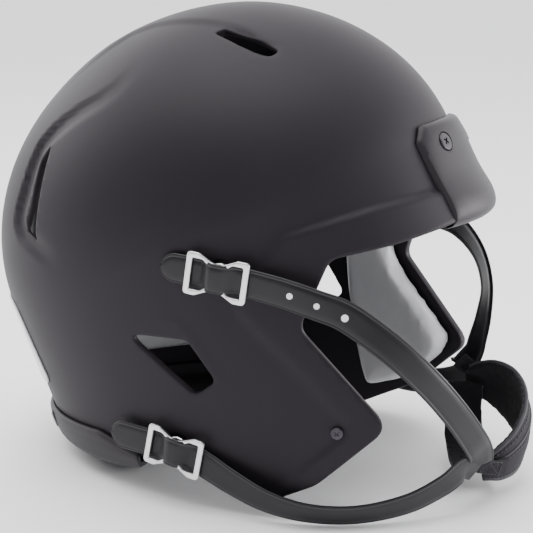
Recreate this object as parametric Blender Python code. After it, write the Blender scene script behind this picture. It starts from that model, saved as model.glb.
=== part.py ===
"""American football helmet: moulded shell, bumpers, pads, snaps, buckles, chin straps and cup.

Frame: +Z up, the face looks along -Y, the wearer's right side is -X. The origin is on the table,
under the middle of the helmet. Sizes in the tables below are millimetres. Points of the shell are
written from the dome's centre, and to_part() moves them into the part's frame in metres.
"""
from math import cos, pi, radians, sin

import bmesh
import bpy
from mathutils import Vector

MM = 0.001
CLEARANCE = 0.3               # gap between pieces that touch

# Dome and walls of the shell, in a frame leaned back about X
DOME_CENTRE = Vector((0.0, 22.1, 141.0))
SET_DOWN = radians(2.5)       # the brow is raised by this to stand on the chin cup and rear bumper
TABLE = -141.0                # the table below the dome's centre
LEAN = radians(-22.85)
HALF_WIDTH = 112.06
HALF_LENGTH = 145.2
CROWN_HEIGHT = 122.7
SIDE_FLARE = 0.00095          # the side walls draw in by this fraction for each mm below the dome
END_FLARE = 0.0005            # the front and back spread by this fraction for each mm
WALL = 4.0
WALL_BOTTOM = -150.0

# Side outline of the shell's free edge, from brow to back: (y, z, corner radius)
EDGE_OUTLINE = [
    (-143.7, 10.0, 0), (-125.0, 4.9, 40), (-95.5, -0.2, 9), (-80.8, -36.5, 10),
    (-124.0, -90.0, 9), (-87.0, -121.5, 30), (-48.5, -138.5, 5), (-45.0, -130.0, 2),
    (-10.0, -120.8, 6), (14.0, -117.0, 12), (40.0, -120.0, 20), (140.0, -122.0, 0)]
EAR_HOLE = [(17.5, -42.0, 5), (-22.0, -43.0, 7), (-37.5, -67.0, 6), (-23.0, -76.5, 6)]
REAR_VENT = [(67.5, 57.0, 1.5), (75.5, 46.0, 6), (79.5, 22.0, 12), (86.5, 6.5, 2.5), (75.0, 1.5, 2),
             (73.0, 20.0, 12)]
TOP_VENT = [(-50.5, -18.5, 2.5), (-45.5, -24.0, 4), (-50.0, -48.0, 8), (-53.5, -60.0, 3),
            (-59.5, -55.0, 4), (-57.5, -36.0, 8)]

# Snap hardware
SNAP_PLACES = {"upper": (-43.0, -7.5), "lower": (-9.0, -107.5)}
SEAT_RADIUS = 8.5
SHANK_RADIUS = 2.0
FLANGE = (6.0, 0.9)           # radius, thickness
KNOB = (3.0, 2.4)
SOCKET = (3.4, 6.6, 2.2)      # bore radius, outer radius, thickness
NUT = (5.5, 3.0)              # radius, thickness
STRAP_WIDTH = 16.0
STRAP_THICKNESS = 2.0
BUCKLE = (34.0, 23.0, 2.2)    # length, width, thickness

# Bumpers and label
FRONT_BUMPER_HALF_WIDTH = 36.0
FRONT_SCREW_PLACE = (19.0, 49.6)
REAR_BUMPER_END = 91.0        # degrees each side of the back
REAR_SCREW_ANGLE = 36.0
LABEL_HALF_WIDTH = 66.0
JAW_RIVET_PLACE = (-99.2, -92.5)

# Chin cup: centre between the strap joints and its three directions
CUP_CENTRE = Vector((4.0, -149.0, -103.5))
CUP_ACROSS = Vector((0.844, 0.347, 0.409)).normalized()
CUP_UP = Vector((-0.333, -0.256, 0.905)).normalized()
CUP_HALF_WIDTH = 38.0
CUP_DEPTH = 31.0

MATERIALS = {
    "shell": ((0.045, 0.042, 0.05), 0.55, 0.0),
    "bumper": ((0.03, 0.028, 0.033), 0.5, 0.0),
    "label": ((0.75, 0.75, 0.77), 0.4, 0.0),
    "pad": ((0.55, 0.55, 0.57), 0.5, 0.0),
    "liner_pad": ((0.09, 0.09, 0.1), 0.7, 0.0),
    "metal": ((0.72, 0.72, 0.74), 0.3, 1.0),
    "dark_metal": ((0.05, 0.05, 0.055), 0.4, 1.0),
    "strap": ((0.035, 0.033, 0.04), 0.4, 0.0),
    "cup": ((0.04, 0.036, 0.045), 0.85, 0.0),
}


def clear_scene():
    for old in list(bpy.data.objects):
        bpy.data.objects.remove(old, do_unlink=True)


def make_materials():
    made = {}
    for name, (colour, roughness, metallic) in MATERIALS.items():
        material = bpy.data.materials.new(name)
        material.use_nodes = True
        shader = material.node_tree.nodes["Principled BSDF"]
        shader.inputs["Base Color"].default_value = (*colour, 1.0)
        shader.inputs["Roughness"].default_value = roughness
        shader.inputs["Metallic"].default_value = metallic
        made[name] = material
    return made


def to_part(point):
    x, y, z = point
    level = Vector((x, y * cos(SET_DOWN) + z * sin(SET_DOWN), z * cos(SET_DOWN) - y * sin(SET_DOWN)))
    return (level + DOME_CENTRE) * MM


def table_height(y):
    return (TABLE + y * sin(SET_DOWN)) / cos(SET_DOWN)


def add_solid(name, points, faces, material, smooth=40):
    """One object from points in mm about the dome's centre, its faces turned outwards."""
    mesh = bpy.data.meshes.new(name)
    mesh.from_pydata([to_part(p) for p in points], [], faces)
    build = bmesh.new()
    build.from_mesh(mesh)
    bmesh.ops.remove_doubles(build, verts=build.verts, dist=1e-6)
    bmesh.ops.recalc_face_normals(build, faces=build.faces)
    build.to_mesh(mesh)
    build.free()
    mesh.shade_smooth()
    mesh.set_sharp_from_angle(angle=radians(smooth))
    made = bpy.data.objects.new(name, mesh)
    bpy.context.collection.objects.link(made)
    if material:
        mesh.materials.append(material)
    return made


def cut(target, cutter):
    cutter.hide_render = True
    cutter.display_type = "WIRE"
    step = target.modifiers.new("cut " + cutter.name, "BOOLEAN")
    step.operation = "DIFFERENCE"
    step.solver = "EXACT"
    step.object = cutter


# ---- outlines and sweeps ----

def rounded(corners, closed=True, steps=5):
    """A polygon's points with each corner replaced by an arc of its own radius."""
    outline = []
    count = len(corners)
    for index, (a, b, radius) in enumerate(corners):
        here = Vector((a, b))
        ends = not closed and index in (0, count - 1)
        if radius <= 0 or ends:
            outline.append((a, b))
            continue
        before = (Vector(corners[index - 1][:2]) - here)
        after = (Vector(corners[(index + 1) % count][:2]) - here)
        half = before.angle(after) / 2
        reach = min(radius * cos(half) / sin(half), 0.48 * before.length, 0.48 * after.length)
        start = here + before.normalized() * reach
        finish = here + after.normalized() * reach
        for step in range(steps + 1):
            t = step / steps
            point = (1 - t) ** 2 * start + 2 * t * (1 - t) * here + t ** 2 * finish
            outline.append((point.x, point.y))
    return outline


def prism(name, outline, low, high, axis):
    """A closed prism: outline in the two other axes, from low to high along axis."""
    points = []
    for level in (low, high):
        for a, b in outline:
            points.append((level, a, b) if axis == "X" else (a, b, level))
    count = len(outline)
    faces = [tuple(range(count)), tuple(range(count, 2 * count))]
    faces += [(i, (i + 1) % count, count + (i + 1) % count, count + i) for i in range(count)]
    return add_solid(name, points, faces, None)


def grid_solid(name, outer, inner, material):
    """A closed plate between two grids of points with the same rows and columns."""
    rows, columns = len(outer), len(outer[0])
    points = [p for row in outer for p in row] + [p for row in inner for p in row]
    back = rows * columns
    last = (rows - 1) * columns
    faces = []
    for r in range(rows - 1):
        for c in range(columns - 1):
            a, b = r * columns + c, r * columns + c + 1
            d, e = a + columns, b + columns
            faces += [(a, b, e, d), (back + d, back + e, back + b, back + a)]
    for c in range(columns - 1):
        d = c + 1
        faces += [(d, c, back + c, back + d), (last + c, last + d, back + last + d, back + last + c)]
    for r in range(rows - 1):
        a, b = r * columns, (r + 1) * columns
        e, f = a + columns - 1, b + columns - 1
        faces += [(a, b, back + b, back + a), (f, e, back + e, back + f)]
    return add_solid(name, points, faces, material)


def section_solid(name, sections, material):
    """A closed body through a row of sections that have the same number of points."""
    count = len(sections[0])
    points = [p for section in sections for p in section]
    last = (len(sections) - 1) * count
    faces = [tuple(range(count))[::-1], tuple(range(last, last + count))]
    for s in range(len(sections) - 1):
        for i in range(count):
            a, b = s * count + i, s * count + (i + 1) % count
            faces.append((a, b, b + count, a + count))
    return add_solid(name, points, faces, material)


def smooth_path(points, per_span=4):
    """Points along a smooth curve through the given ones."""
    points = [Vector(p) for p in points]
    path = []
    for i in range(len(points) - 1):
        p0 = points[max(i - 1, 0)]
        p1, p2 = points[i], points[i + 1]
        p3 = points[min(i + 2, len(points) - 1)]
        for step in range(per_span):
            t = step / per_span
            path.append(0.5 * (2 * p1 + (p2 - p0) * t + (2 * p0 - 5 * p1 + 4 * p2 - p3) * t * t
                               + (3 * p1 - p0 - 3 * p2 + p3) * t ** 3))
    path.append(points[-1])
    return path


def turned(name, profile, place, axis, material, sides=14):
    """A piece turned round axis at place; profile is (radius, height) from foot to top."""
    axis = Vector(axis).normalized()
    side = axis.orthogonal().normalized()
    other = axis.cross(side)
    points, faces = [], []
    for radius, height in profile:
        for i in range(sides):
            turn = 2 * pi * i / sides
            points.append(Vector(place) + axis * height
                          + (side * cos(turn) + other * sin(turn)) * radius)
    rings = len(profile)
    hollow = profile[0] == profile[-1]
    for r in range(rings - 1):
        for i in range(sides):
            a, b = r * sides + i, r * sides + (i + 1) % sides
            faces.append((a, b, b + sides, a + sides))
    if not hollow:
        faces += [tuple(range(sides)), tuple(range((rings - 1) * sides, rings * sides))]
    return add_solid(name, points, faces, material)


# ---- the shell's surface ----

def lean_in(point):
    x, y, z = point
    return x, y * cos(LEAN) + z * sin(LEAN), -y * sin(LEAN) + z * cos(LEAN)


def lean_out(x, u, w):
    return Vector((x, u * cos(LEAN) - w * sin(LEAN), u * sin(LEAN) + w * cos(LEAN)))


def shell_value(point):
    """Below zero inside the shell's outer surface, above zero outside."""
    x, u, w = lean_in(point)
    if w >= 0:
        return (x / HALF_WIDTH) ** 2 + (u / HALF_LENGTH) ** 2 + (w / CROWN_HEIGHT) ** 2 - 1
    wide, long = HALF_WIDTH * (1 + SIDE_FLARE * w), HALF_LENGTH * (1 - END_FLARE * w)
    return (x / wide) ** 2 + (u / long) ** 2 - 1


def shell_normal(point):
    step = 0.01
    grad = []
    for axis in range(3):
        ahead, behind = Vector(point), Vector(point)
        ahead[axis] += step
        behind[axis] -= step
        grad.append(shell_value(ahead) - shell_value(behind))
    return Vector(grad).normalized()


def reach(start, direction):
    """Where a line from inside the shell meets its outer surface."""
    start, direction = Vector(start), Vector(direction).normalized()
    near, far = 0.0, 400.0
    for _ in range(40):
        middle = (near + far) / 2
        if shell_value(start + direction * middle) < 0:
            near = middle
        else:
            far = middle
    return start + direction * near


def side_point(side, y, z, inward=0.0):
    point = reach((0, y, z), (side, 0, 0))
    return point - shell_normal(point) * inward


def ring_point(turn, level, inward=0.0):
    """A point on the shell by its turn round the crown axis (0 is the back) and its level:
    above zero a part of the way up the dome, below zero mm down the wall."""
    if level >= 0:
        rise = level * pi / 2
        x = HALF_WIDTH * cos(rise) * sin(turn)
        u = HALF_LENGTH * cos(rise) * cos(turn)
        w = CROWN_HEIGHT * sin(rise)
    else:
        x = HALF_WIDTH * (1 + SIDE_FLARE * level) * sin(turn)
        u = HALF_LENGTH * (1 - END_FLARE * level) * cos(turn)
        w = level
    point = lean_out(x, u, w)
    return point - shell_normal(point) * inward if inward else point


def shell_solid(name, inward, bottom, material):
    sides = 48
    levels = [1 - i / 11 for i in range(1, 12)]
    levels += [bottom * i / 5 for i in range(1, 6)]
    points = [ring_point(0, 1, inward)]
    for level in levels:
        points += [ring_point(2 * pi * i / sides, level, inward) for i in range(sides)]
    faces = [(0, 1 + (i + 1) % sides, 1 + i) for i in range(sides)]
    for r in range(len(levels) - 1):
        for i in range(sides):
            a, b = 1 + r * sides + i, 1 + r * sides + (i + 1) % sides
            faces.append((a, b, b + sides, a + sides))
    last = 1 + (len(levels) - 1) * sides
    faces.append(tuple(range(last, last + sides)))
    return add_solid(name, points, faces, material)


def make_shell(mats):
    shell = shell_solid("shell", 0.0, WALL_BOTTOM, mats["shell"])
    cut(shell, shell_solid("cavity", WALL, WALL_BOTTOM - 20, None))
    edge = [(-260.0, 45.0)] + rounded(EDGE_OUTLINE, closed=False)
    edge += [(260.0, -122.0), (260.0, -400.0), (-260.0, -400.0)]
    cut(shell, prism("edge cutter", edge, -160, 160, "X"))
    cut(shell, prism("ear cutter", rounded(EAR_HOLE), -160, 160, "X"))
    for side in (-1, 1):
        reach_in, reach_out = sorted((side * 45.0, side * 160.0))
        cut(shell, prism("rear vent cutter", rounded(REAR_VENT), reach_in, reach_out, "X"))
        outline = [(-side * x, y) for x, y in rounded(TOP_VENT)]
        cut(shell, prism("top vent cutter", outline, 60.0, 160.0, "Z"))
        for where, (y, z) in SNAP_PLACES.items():
            seat = snap_seat(side, y, z)
            cut(shell, turned("seat cutter", [(SEAT_RADIUS, 0), (SEAT_RADIUS, 9)], seat,
                              (side, 0, 0), None, 20))
            hole = SHANK_RADIUS + CLEARANCE
            cut(shell, turned("shank cutter", [(hole, -12), (hole, 4)], seat, (side, 0, 0), None, 14))
        rivet = side_point(side, *JAW_RIVET_PLACE)
        cut(shell, turned("rivet cutter", [(2.3, -9), (2.3, 9)], rivet, shell_normal(rivet), None, 14))
        screw = front_screw_place(side)
        cut(shell, turned("front screw cutter", [(2.3, -12), (2.3, 9)], screw, shell_normal(screw),
                          None, 14))
        screw = rear_screw_place(side)
        cut(shell, turned("rear screw cutter", [(2.3, -12), (2.3, 9)], screw, shell_normal(screw),
                          None, 14))
    return shell


def snap_seat(side, y, z):
    """Centre of the flat seat under a stud, as deep as the wall's curve across it needs."""
    point = side_point(side, y, z)
    return point - Vector((side * 1.5, 0, 0))


def front_screw_place(side):
    x, z = FRONT_SCREW_PLACE
    return reach((side * x, 0, z), (0, -1, 0))


def rear_screw_place(side):
    turn = radians(REAR_SCREW_ANGLE)
    return reach((0, 20, -114.5), (side * sin(turn), cos(turn), 0))


# ---- bumpers, screws and label ----

def front_bumper_section(x):
    across = 1 - (x / FRONT_BUMPER_HALF_WIDTH) ** 2
    corner = 1 - max(0.0, abs(x) / FRONT_BUMPER_HALF_WIDTH - 0.82) / 0.18 * 0.12
    top = 62.5 * corner - 2.0 * (1 - across)
    foot_z = 11.5
    swell = [(1.0, 2.5, 6.5), (0.9, 3.5, 7.5), (0.7, 4.0, 6.5), (0.48, 4.5, 5.6), (0.34, 5.0, 6.4),
             (0.24, 5.2, 7.4), (0.15, 5.0, 7.0), (0.07, 4.2, 5.6), (0.0, 3.0, 3.0)]
    section = []
    for share, thin, thick in swell:
        z = foot_z + (top - foot_z) * share
        out = thin + (thick - thin) * across ** 0.7
        section.append(Vector((x, reach((x, 0, z), (0, -1, 0)).y - out, z)))
    brow = 11.0 - 0.05 * max(0.0, abs(x) - 20)
    foot = reach((x, 0, brow), (0, -1, 0)).y
    tongue = reach((x, 0, 16.5), (0, -1, 0)).y
    section += [Vector((x, foot + 1.0, 8.2)), Vector((x, foot + 7.5, 6.0)),
                Vector((x, tongue + 7.0, 16.5)), Vector((x, tongue + 5.4, 16.5)), Vector((x, foot + 5.2, brow - 2.6)),
                Vector((x, foot - 0.6, brow - 1.4))]
    for share in (0.1, 0.3, 0.5, 0.75, 0.9, 1.0):
        z = foot_z + (top - foot_z) * share
        section.append(Vector((x, reach((x, 0, z), (0, -1, 0)).y - CLEARANCE - 0.5, z)))
    return section


def make_front_bumper(mats):
    stations = [-36, -34.5, -30, -22, -12, 0, 12, 22, 30, 34.5, 36]
    bumper = section_solid("front_bumper", [front_bumper_section(x) for x in stations],
                           mats["bumper"])
    for side, label in ((-1, "right"), (1, "left")):
        place = front_screw_place(side)
        axis = shell_normal(place)
        cut(bumper, turned("bumper screw cutter", [(2.4, -4), (2.4, 4.2), (5.6, 4.2), (5.6, 30)],
                           place, axis, None))
        turned("front_bumper_screw_" + label,
               [(2.0, -4.3), (2.0, 4.6), (5.2, 4.6), (5.2, 5.8), (4.2, 6.8), (1.6, 7.0)],
               place, axis, mats["dark_metal"])


def rear_bumper_section(turn_degrees):
    turn = radians(turn_degrees)
    heading = Vector((sin(turn), cos(turn), 0))
    share = max(0.0, min(1.0, (REAR_BUMPER_END - abs(turn_degrees)) / 26.0))
    depth = sin(share * pi / 2) ** 0.8
    lip = 4.0 * (1 - min(1.0, share * 1.5))
    seam = -106.0 - 3.0 * cos(turn) - 2.2 * lip
    edge = -122.2

    def on_wall(offset, z):
        return reach((0, 20, z), heading) + heading * offset

    def below(offset, z):
        """A point under the shell's free edge; the ends of the bumper are shallow and thin."""
        point = reach((0, 20, edge), heading) + heading * (offset * (0.3 + 0.7 * depth))
        foot = table_height(point.y) if z is None else z
        return Vector((point.x, point.y, edge - 2.5 + (foot - edge + 2.5) * depth))

    return [on_wall(CLEARANCE, seam), on_wall(2.4, seam - 0.6), on_wall(3.8, seam - 3.0 + lip * 0.3),
            on_wall(4.4, -117.0 - 0.5 * lip), below(2.6, -125.5), below(-2.5, -130.0),
            below(-9.0, -133.5), below(-17.0, -136.2), below(-25.0, None), below(-34.0, None),
            below(-37.0, -133.0), below(-26.0, -124.5), on_wall(-9.0, -120.5),
            on_wall(-8.6, -113.0 - lip), on_wall(-5.2, -113.0 - lip), on_wall(-5.0, edge - 0.3),
            on_wall(CLEARANCE, edge - 0.3)]


def make_rear_bumper(mats):
    stations = [REAR_BUMPER_END * (i / 15) for i in range(-15, 16)]
    bumper = section_solid("rear_bumper", [rear_bumper_section(s) for s in stations], mats["bumper"])
    for side, label in ((-1, "right"), (1, "left")):
        place = rear_screw_place(side)
        axis = shell_normal(place)
        cut(bumper, turned("rear bumper screw cutter", [(2.4, -13), (2.4, 3.0), (5.4, 3.0), (5.4, 20)],
                           place, axis, None))
        turned("rear_bumper_screw_" + label,
               [(2.0, -11), (2.0, 3.4), (5.0, 3.4), (5.0, 4.4), (4.0, 5.3), (1.6, 5.5)],
               place, axis, mats["dark_metal"])


def make_label(mats):
    outer, inner = [], []
    for row in range(7):
        z = -91.0 + 50.0 * row / 6
        line_out, line_in = [], []
        for column in range(17):
            x = LABEL_HALF_WIDTH * (column / 8 - 1)
            point = reach((x, 0, z), (0, 1, 0))
            normal = shell_normal(point)
            line_out.append(point + normal * (CLEARANCE + 1.0))
            line_in.append(point + normal * CLEARANCE)
        outer.append(line_out)
        inner.append(line_in)
    grid_solid("rear_label", outer, inner, mats["label"])


# ---- pads ----

def pad_between(name, place, rows, columns, thick, bevel, material):
    """A pad on the inside of the wall; place(r, c, inward) takes r and c from 0 to 1."""
    front = WALL + CLEARANCE + 0.5
    outer = [[place(r / rows, c / columns, front) for c in range(columns + 1)]
             for r in range(rows + 1)]
    inner = [[place(bevel + (1 - 2 * bevel) * r / rows, bevel + (1 - 2 * bevel) * c / columns,
                    front + thick) for c in range(columns + 1)] for r in range(rows + 1)]
    return grid_solid(name, outer, inner, material)


def ring_pad(name, turns, levels, thick, material, rows=5, columns=12, dip=0.0):
    """A pad between two turns and two levels; dip lowers its lower edge towards its ends."""
    def place(r, c, inward):
        turn = radians(turns[0] + (turns[1] - turns[0]) * c)
        low = levels[0] - dip * (1 - cos(turn))
        return ring_point(turn, low + (levels[1] - low) * r, inward)

    return pad_between(name, place, rows, columns, thick, 0.07, material)


def make_pads(mats):
    crown_rows = [1 - i * 0.048 for i in range(1, 7)]
    sides = 20
    front = WALL + CLEARANCE + 0.5

    def ring(level, inward):
        return [ring_point(2 * pi * i / sides, level, inward) for i in range(sides)]

    rings = [ring(level, front) for level in crown_rows]
    rings += [ring(level + 0.03, front + 13.0) for level in reversed(crown_rows[:-1])]
    points = [ring_point(0, 1, front)] + [p for one in rings for p in one]
    points.append(ring_point(0, 1, front + 13.0))
    faces = [(0, 1 + (i + 1) % sides, 1 + i) for i in range(sides)]
    for r in range(len(rings) - 1):
        for i in range(sides):
            a, b = 1 + r * sides + i, 1 + r * sides + (i + 1) % sides
            faces.append((a, b, b + sides, a + sides))
    last = 1 + (len(rings) - 1) * sides
    faces += [(last + i, last + (i + 1) % sides, len(points) - 1) for i in range(sides)]
    add_solid("crown_pad", points, faces, mats["liner_pad"])

    ring_pad("front_pad", (150, 210), (0.0, 0.45), 13.0, mats["liner_pad"])
    ring_pad("brow_pad", (152, 208), (-34.0, -3.0), 11.0, mats["liner_pad"], rows=4)
    ring_pad("back_pad", (-42, 42), (0.02, 0.55), 13.0, mats["liner_pad"])
    ring_pad("neck_pad", (-60, 60), (-50.0, -3.0), 12.0, mats["pad"], columns=16, dip=62.0)
    for side, label in ((-1, "right"), (1, "left")):
        turns = (side * 68, side * 128)
        side_pad = ring_pad("side_pad_" + label, turns, (-26.0, -0.5), 12.0, mats["pad"], rows=4)
        seat = snap_seat(side, *SNAP_PLACES["upper"])
        cut(side_pad, turned("nut pocket cutter " + label, [(7.5, -11), (7.5, 0)], seat,
                             (side, 0, 0), None))
        ring_pad("temple_pad_" + label, turns, (0.03, 0.5), 12.0, mats["liner_pad"])
        make_jaw_pad("jaw_pad_" + label, side, mats["pad"])


def make_jaw_pad(name, side, material):
    rear = smooth_path([(0, -43.5, -17), (0, -43.5, -52), (0, -46, -84), (0, -50, -109), (0, -57, -127)], 3)
    face = smooth_path([(0, -73, -15), (0, -83, -43), (0, -106, -71), (0, -115, -92), (0, -86, -117)], 3)
    rows = len(rear) - 1

    def place(r, c, inward):
        at = r * rows
        low = min(int(at), rows - 1)
        part = at - low
        a = rear[low].lerp(rear[low + 1], part)
        b = face[low].lerp(face[low + 1], part)
        spot = a.lerp(b, c)
        return side_point(side, spot.y, spot.z, inward)

    pad_between(name, place, rows, 8, 15.0, 0.1, material)


# ---- snaps and buckles ----

def make_snaps(mats):
    """Each stud's shank goes through the wall into its nut; its socket sits on the knob."""
    flange_radius, flange_height = FLANGE
    knob_radius, knob_height = KNOB
    bore, ring, ring_height = SOCKET
    for where, (y, z) in SNAP_PLACES.items():
        for side, label in ((-1, "right"), (1, "left")):
            seat = snap_seat(side, y, z)
            axis = Vector((side, 0, 0))
            foot = CLEARANCE
            top = foot + flange_height
            turned(where + "_stud_" + label,
                   [(SHANK_RADIUS, -10.0), (SHANK_RADIUS, foot), (flange_radius, foot),
                    (flange_radius, top), (2.3, top), (2.3, top + 0.9), (knob_radius, top + 1.3),
                    (knob_radius, top + knob_height - 0.5), (2.2, top + knob_height)],
                   seat, axis, mats["metal"])
            hole = SHANK_RADIUS + CLEARANCE
            inside = WALL + 0.1
            turned(where + "_nut_" + label,
                   [(hole, -inside - NUT[1]), (NUT[0], -inside - NUT[1]), (NUT[0], -inside),
                    (hole, -inside), (hole, -inside - NUT[1])], seat, axis, mats["dark_metal"])
            low = top + CLEARANCE
            turned(where + "_socket_" + label,
                   [(bore, low), (ring - 0.5, low), (ring, low + 0.5), (ring, low + ring_height - 0.4),
                    (ring - 0.4, low + ring_height), (bore, low + ring_height), (bore, low)],
                   seat, axis, mats["metal"])


def buckle_outline():
    length, width, _ = BUCKLE
    half, wide = length / 2, width / 2
    waist = 3.2
    corners = [(-half, -wide, 2.5), (-half * 0.62, -wide, 3), (0, -wide + waist, 12),
               (half * 0.62, -wide, 3), (half, -wide, 2.5),
               (half, wide, 2.5), (half * 0.62, wide, 3), (0, wide - waist, 12),
               (-half * 0.62, wide, 3), (-half, wide, 2.5)]
    return rounded(corners, steps=3)


def make_buckle(name, place, along, out, material):
    """A flat three-bar slide: along is the strap's direction, out points away from the head."""
    length, width, thick = BUCKLE
    along = Vector(along).normalized()
    out = (Vector(out) - along * Vector(out).dot(along)).normalized()
    across = out.cross(along)

    def plate(label, outline, low, high):
        points = [Vector(place) + along * a + across * b + out * h
                  for h in (low, high) for a, b in outline]
        count = len(outline)
        faces = [tuple(range(count)), tuple(range(count, 2 * count))]
        faces += [(i, (i + 1) % count, count + (i + 1) % count, count + i) for i in range(count)]
        return add_solid(label, points, faces, material if label == name else None)

    buckle = plate(name, buckle_outline(), 0.0, thick)
    slot_half = STRAP_WIDTH / 2 + 0.4
    bar = 3.2
    for end in (-1, 1):
        near, far = end * bar / 2, end * (length / 2 - bar)
        low, high = sorted((near, far))
        slot = rounded([(low, -slot_half, 1), (high, -slot_half, 1), (high, slot_half, 1),
                        (low, slot_half, 1)], steps=2)
        cut(buckle, plate(name + " slot cutter", slot, -3.0, thick + 3.0))
    return buckle


# ---- straps and chin cup ----

def cup_point(across, front, up):
    forward = CUP_ACROSS.cross(CUP_UP)
    return CUP_CENTRE + CUP_ACROSS * across + forward * front + CUP_UP * up


def ribbon(name, path, normals, width, thick, material, per_span=4):
    """A strap of constant width and thickness along a path, facing the given normals."""
    line = smooth_path(path, per_span)
    faces_out = smooth_path(normals, per_span)
    sections = []
    for i, point in enumerate(line):
        ahead = line[min(i + 1, len(line) - 1)] - line[max(i - 1, 0)]
        ahead.normalize()
        out = faces_out[i] - ahead * faces_out[i].dot(ahead)
        out.normalize()
        side = out.cross(ahead) * (width / 2)
        out *= thick
        sections.append([point - side, point + side, point + side + out, point - side + out])
    return section_solid(name, sections, material)


UPPER_ROUTE = {
    "right": [(-113.2, -12.5, -2.0), (-111.0, -28.0, -4.6), (-109.4, -43.0, -7.5), (-107.8, -58.0, -10.4),
              (-106.0, -76.0, -14.8), (-103.0, -94.0, -21.0), (-98.5, -109.0, -28.0),
              (-90.0, -131.0, -47.0), (-79.0, -146.0, -66.5), (-66.0, -156.0, -86.0),
              (-51.5, -161.5, -104.0), (-42.0, -162.5, -114.0)],
    "left": [(113.2, -12.5, -2.0), (111.0, -28.0, -4.6), (109.4, -43.0, -7.5), (107.8, -58.0, -9.4),
             (106.5, -74.0, -10.6), (103.5, -92.0, -12.0), (96.0, -113.0, -17.0),
             (83.0, -130.0, -30.0), (71.0, -138.5, -47.0), (59.0, -139.5, -64.0),
             (50.0, -138.0, -77.0), (46.0, -136.5, -84.0)]}
UPPER_FACING = {
    "right": [(-1, 0.1, 0)] * 4 + [(-1, -0.05, 0.02), (-1, -0.25, 0.05), (-1, -0.45, 0.1),
                                   (-0.9, -0.6, 0.2), (-0.85, -0.7, 0.2), (-0.8, -0.75, 0.1),
                                   (-0.8, -0.7, 0), (-0.8, -0.7, 0)],
    "left": [(1, 0.1, 0)] * 4 + [(1, -0.05, 0.02), (1, -0.3, 0.05), (0.95, -0.5, 0.1), (0.8, -0.7, 0.15),
                                 (0.75, -0.75, 0.1), (0.8, -0.6, 0), (0.85, -0.5, 0), (0.85, -0.5, 0)]}
LOWER_ROUTE = {
    "right": [(-98.6, 31.0, -102.0), (-101.2, 12.0, -104.0), (-101.9, -10.0, -107.5), (-102.3, -25.0, -113.0),
              (-103.0, -42.0, -121.5), (-103.0, -62.0, -130.0), (-99.0, -84.0, -135.6),
              (-89.0, -108.0, -137.5), (-74.0, -131.0, -134.5), (-58.0, -147.0, -128.0),
              (-46.0, -155.0, -122.0)],
    "left": [(98.6, 31.0, -102.0), (101.2, 12.0, -104.0), (101.9, -10.0, -107.5), (102.8, -25.0, -110.6),
             (105.0, -42.0, -116.0), (104.0, -62.0, -121.0), (98.5, -84.0, -122.0),
             (87.5, -105.0, -117.0), (72.0, -121.0, -108.0), (59.0, -129.0, -100.5), (52.0, -132.0, -96.5)]}
LOWER_FACING = {
    "right": [(-1, 0, 0)] * 3 + [(-1, 0, 0), (-1, -0.1, -0.2), (-0.95, -0.2, -0.4), (-0.85, -0.4, -0.6),
                                 (-0.8, -0.5, -0.6), (-0.8, -0.6, -0.5), (-0.8, -0.7, -0.4), (-0.8, -0.7, -0.3)],
    "left": [(1, 0, 0)] * 3 + [(1, 0, 0), (1, -0.1, -0.1), (1, -0.3, -0.2), (0.9, -0.5, -0.3),
                               (0.8, -0.7, -0.3), (0.8, -0.7, -0.3), (0.8, -0.6, -0.2), (0.8, -0.5, -0.1)]}


def make_straps(mats):
    for side, label in ((-1, "right"), (1, "left")):
        for where, routes, facings in (("upper", UPPER_ROUTE, UPPER_FACING),
                                       ("lower", LOWER_ROUTE, LOWER_FACING)):
            route = [Vector(p) for p in routes[label]]
            ribbon(where + "_strap_" + label, route, facings[label], STRAP_WIDTH, STRAP_THICKNESS,
                   mats["strap"])
            along = route[3] - route[1]
            out = Vector((side, 0, 0))
            out -= along * out.dot(along) / along.length_squared
            place = route[2] + out.normalized() * (STRAP_THICKNESS + 0.6)
            make_buckle(where + "_buckle_" + label, place, along, out, mats["metal"])


def make_cup(mats):
    """A soft band round the front of the chin and a second band under it."""
    outer, inner = [], []
    columns = 20
    for up_share in (0.0, 0.2, 0.4, 0.6, 0.8, 1.0):
        line_out, line_in = [], []
        for c in range(columns + 1):
            turn = pi * c / columns
            rim_top = -5.0 + 21.0 * sin(turn) ** 0.8
            rim_low = -21.0 - 9.0 * sin(turn)
            up = rim_low + (rim_top - rim_low) * up_share
            bulge = 4.0 * sin(pi * up_share)
            for line, offset in ((line_out, 0.0), (line_in, -3.5)):
                wide = CUP_HALF_WIDTH + offset + bulge * 0.6
                deep = CUP_DEPTH + offset + bulge - 6.0 * (up_share - 0.2)
                line.append(cup_point(-wide * cos(turn), deep * sin(turn), up))
        outer.append(line_out)
        inner.append(line_in)
    grid_solid("chin_cup", outer, inner, mats["cup"])

    outer, inner = [], []
    for share in (0.0, 0.25, 0.5, 0.75, 1.0):
        line_out, line_in = [], []
        for c in range(columns + 1):
            turn = pi * c / columns
            front = -12.0 + 24.0 * share
            for line, offset in ((line_out, 0.0), (line_in, -3.0)):
                wide = CUP_HALF_WIDTH - 5.0 + offset
                fall = 26.0 + offset + 2.0 * sin(pi * share)
                line.append(cup_point(-wide * cos(turn), front, -9.0 - fall * sin(turn)))
        outer.append(line_out)
        inner.append(line_in)
    grid_solid("chin_cup_liner", outer, inner, mats["cup"])
    for side, label in ((-1, "right"), (1, "left")):
        path = [cup_point(side * a, b, c) for a, b, c in
                ((44.8, -3.0, -4.0), (42.6, 2.0, -7.0), (41.4, 7.0, -8.5), (38.6, 14.0, -9.0))]
        facing = [CUP_ACROSS * side] * 3 + [cup_point(side * 0.9, 0.45, 0) - CUP_CENTRE]
        ribbon("strap_tab_" + label, path, facing, 13.0, 1.6, mats["strap"], per_span=3)


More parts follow.
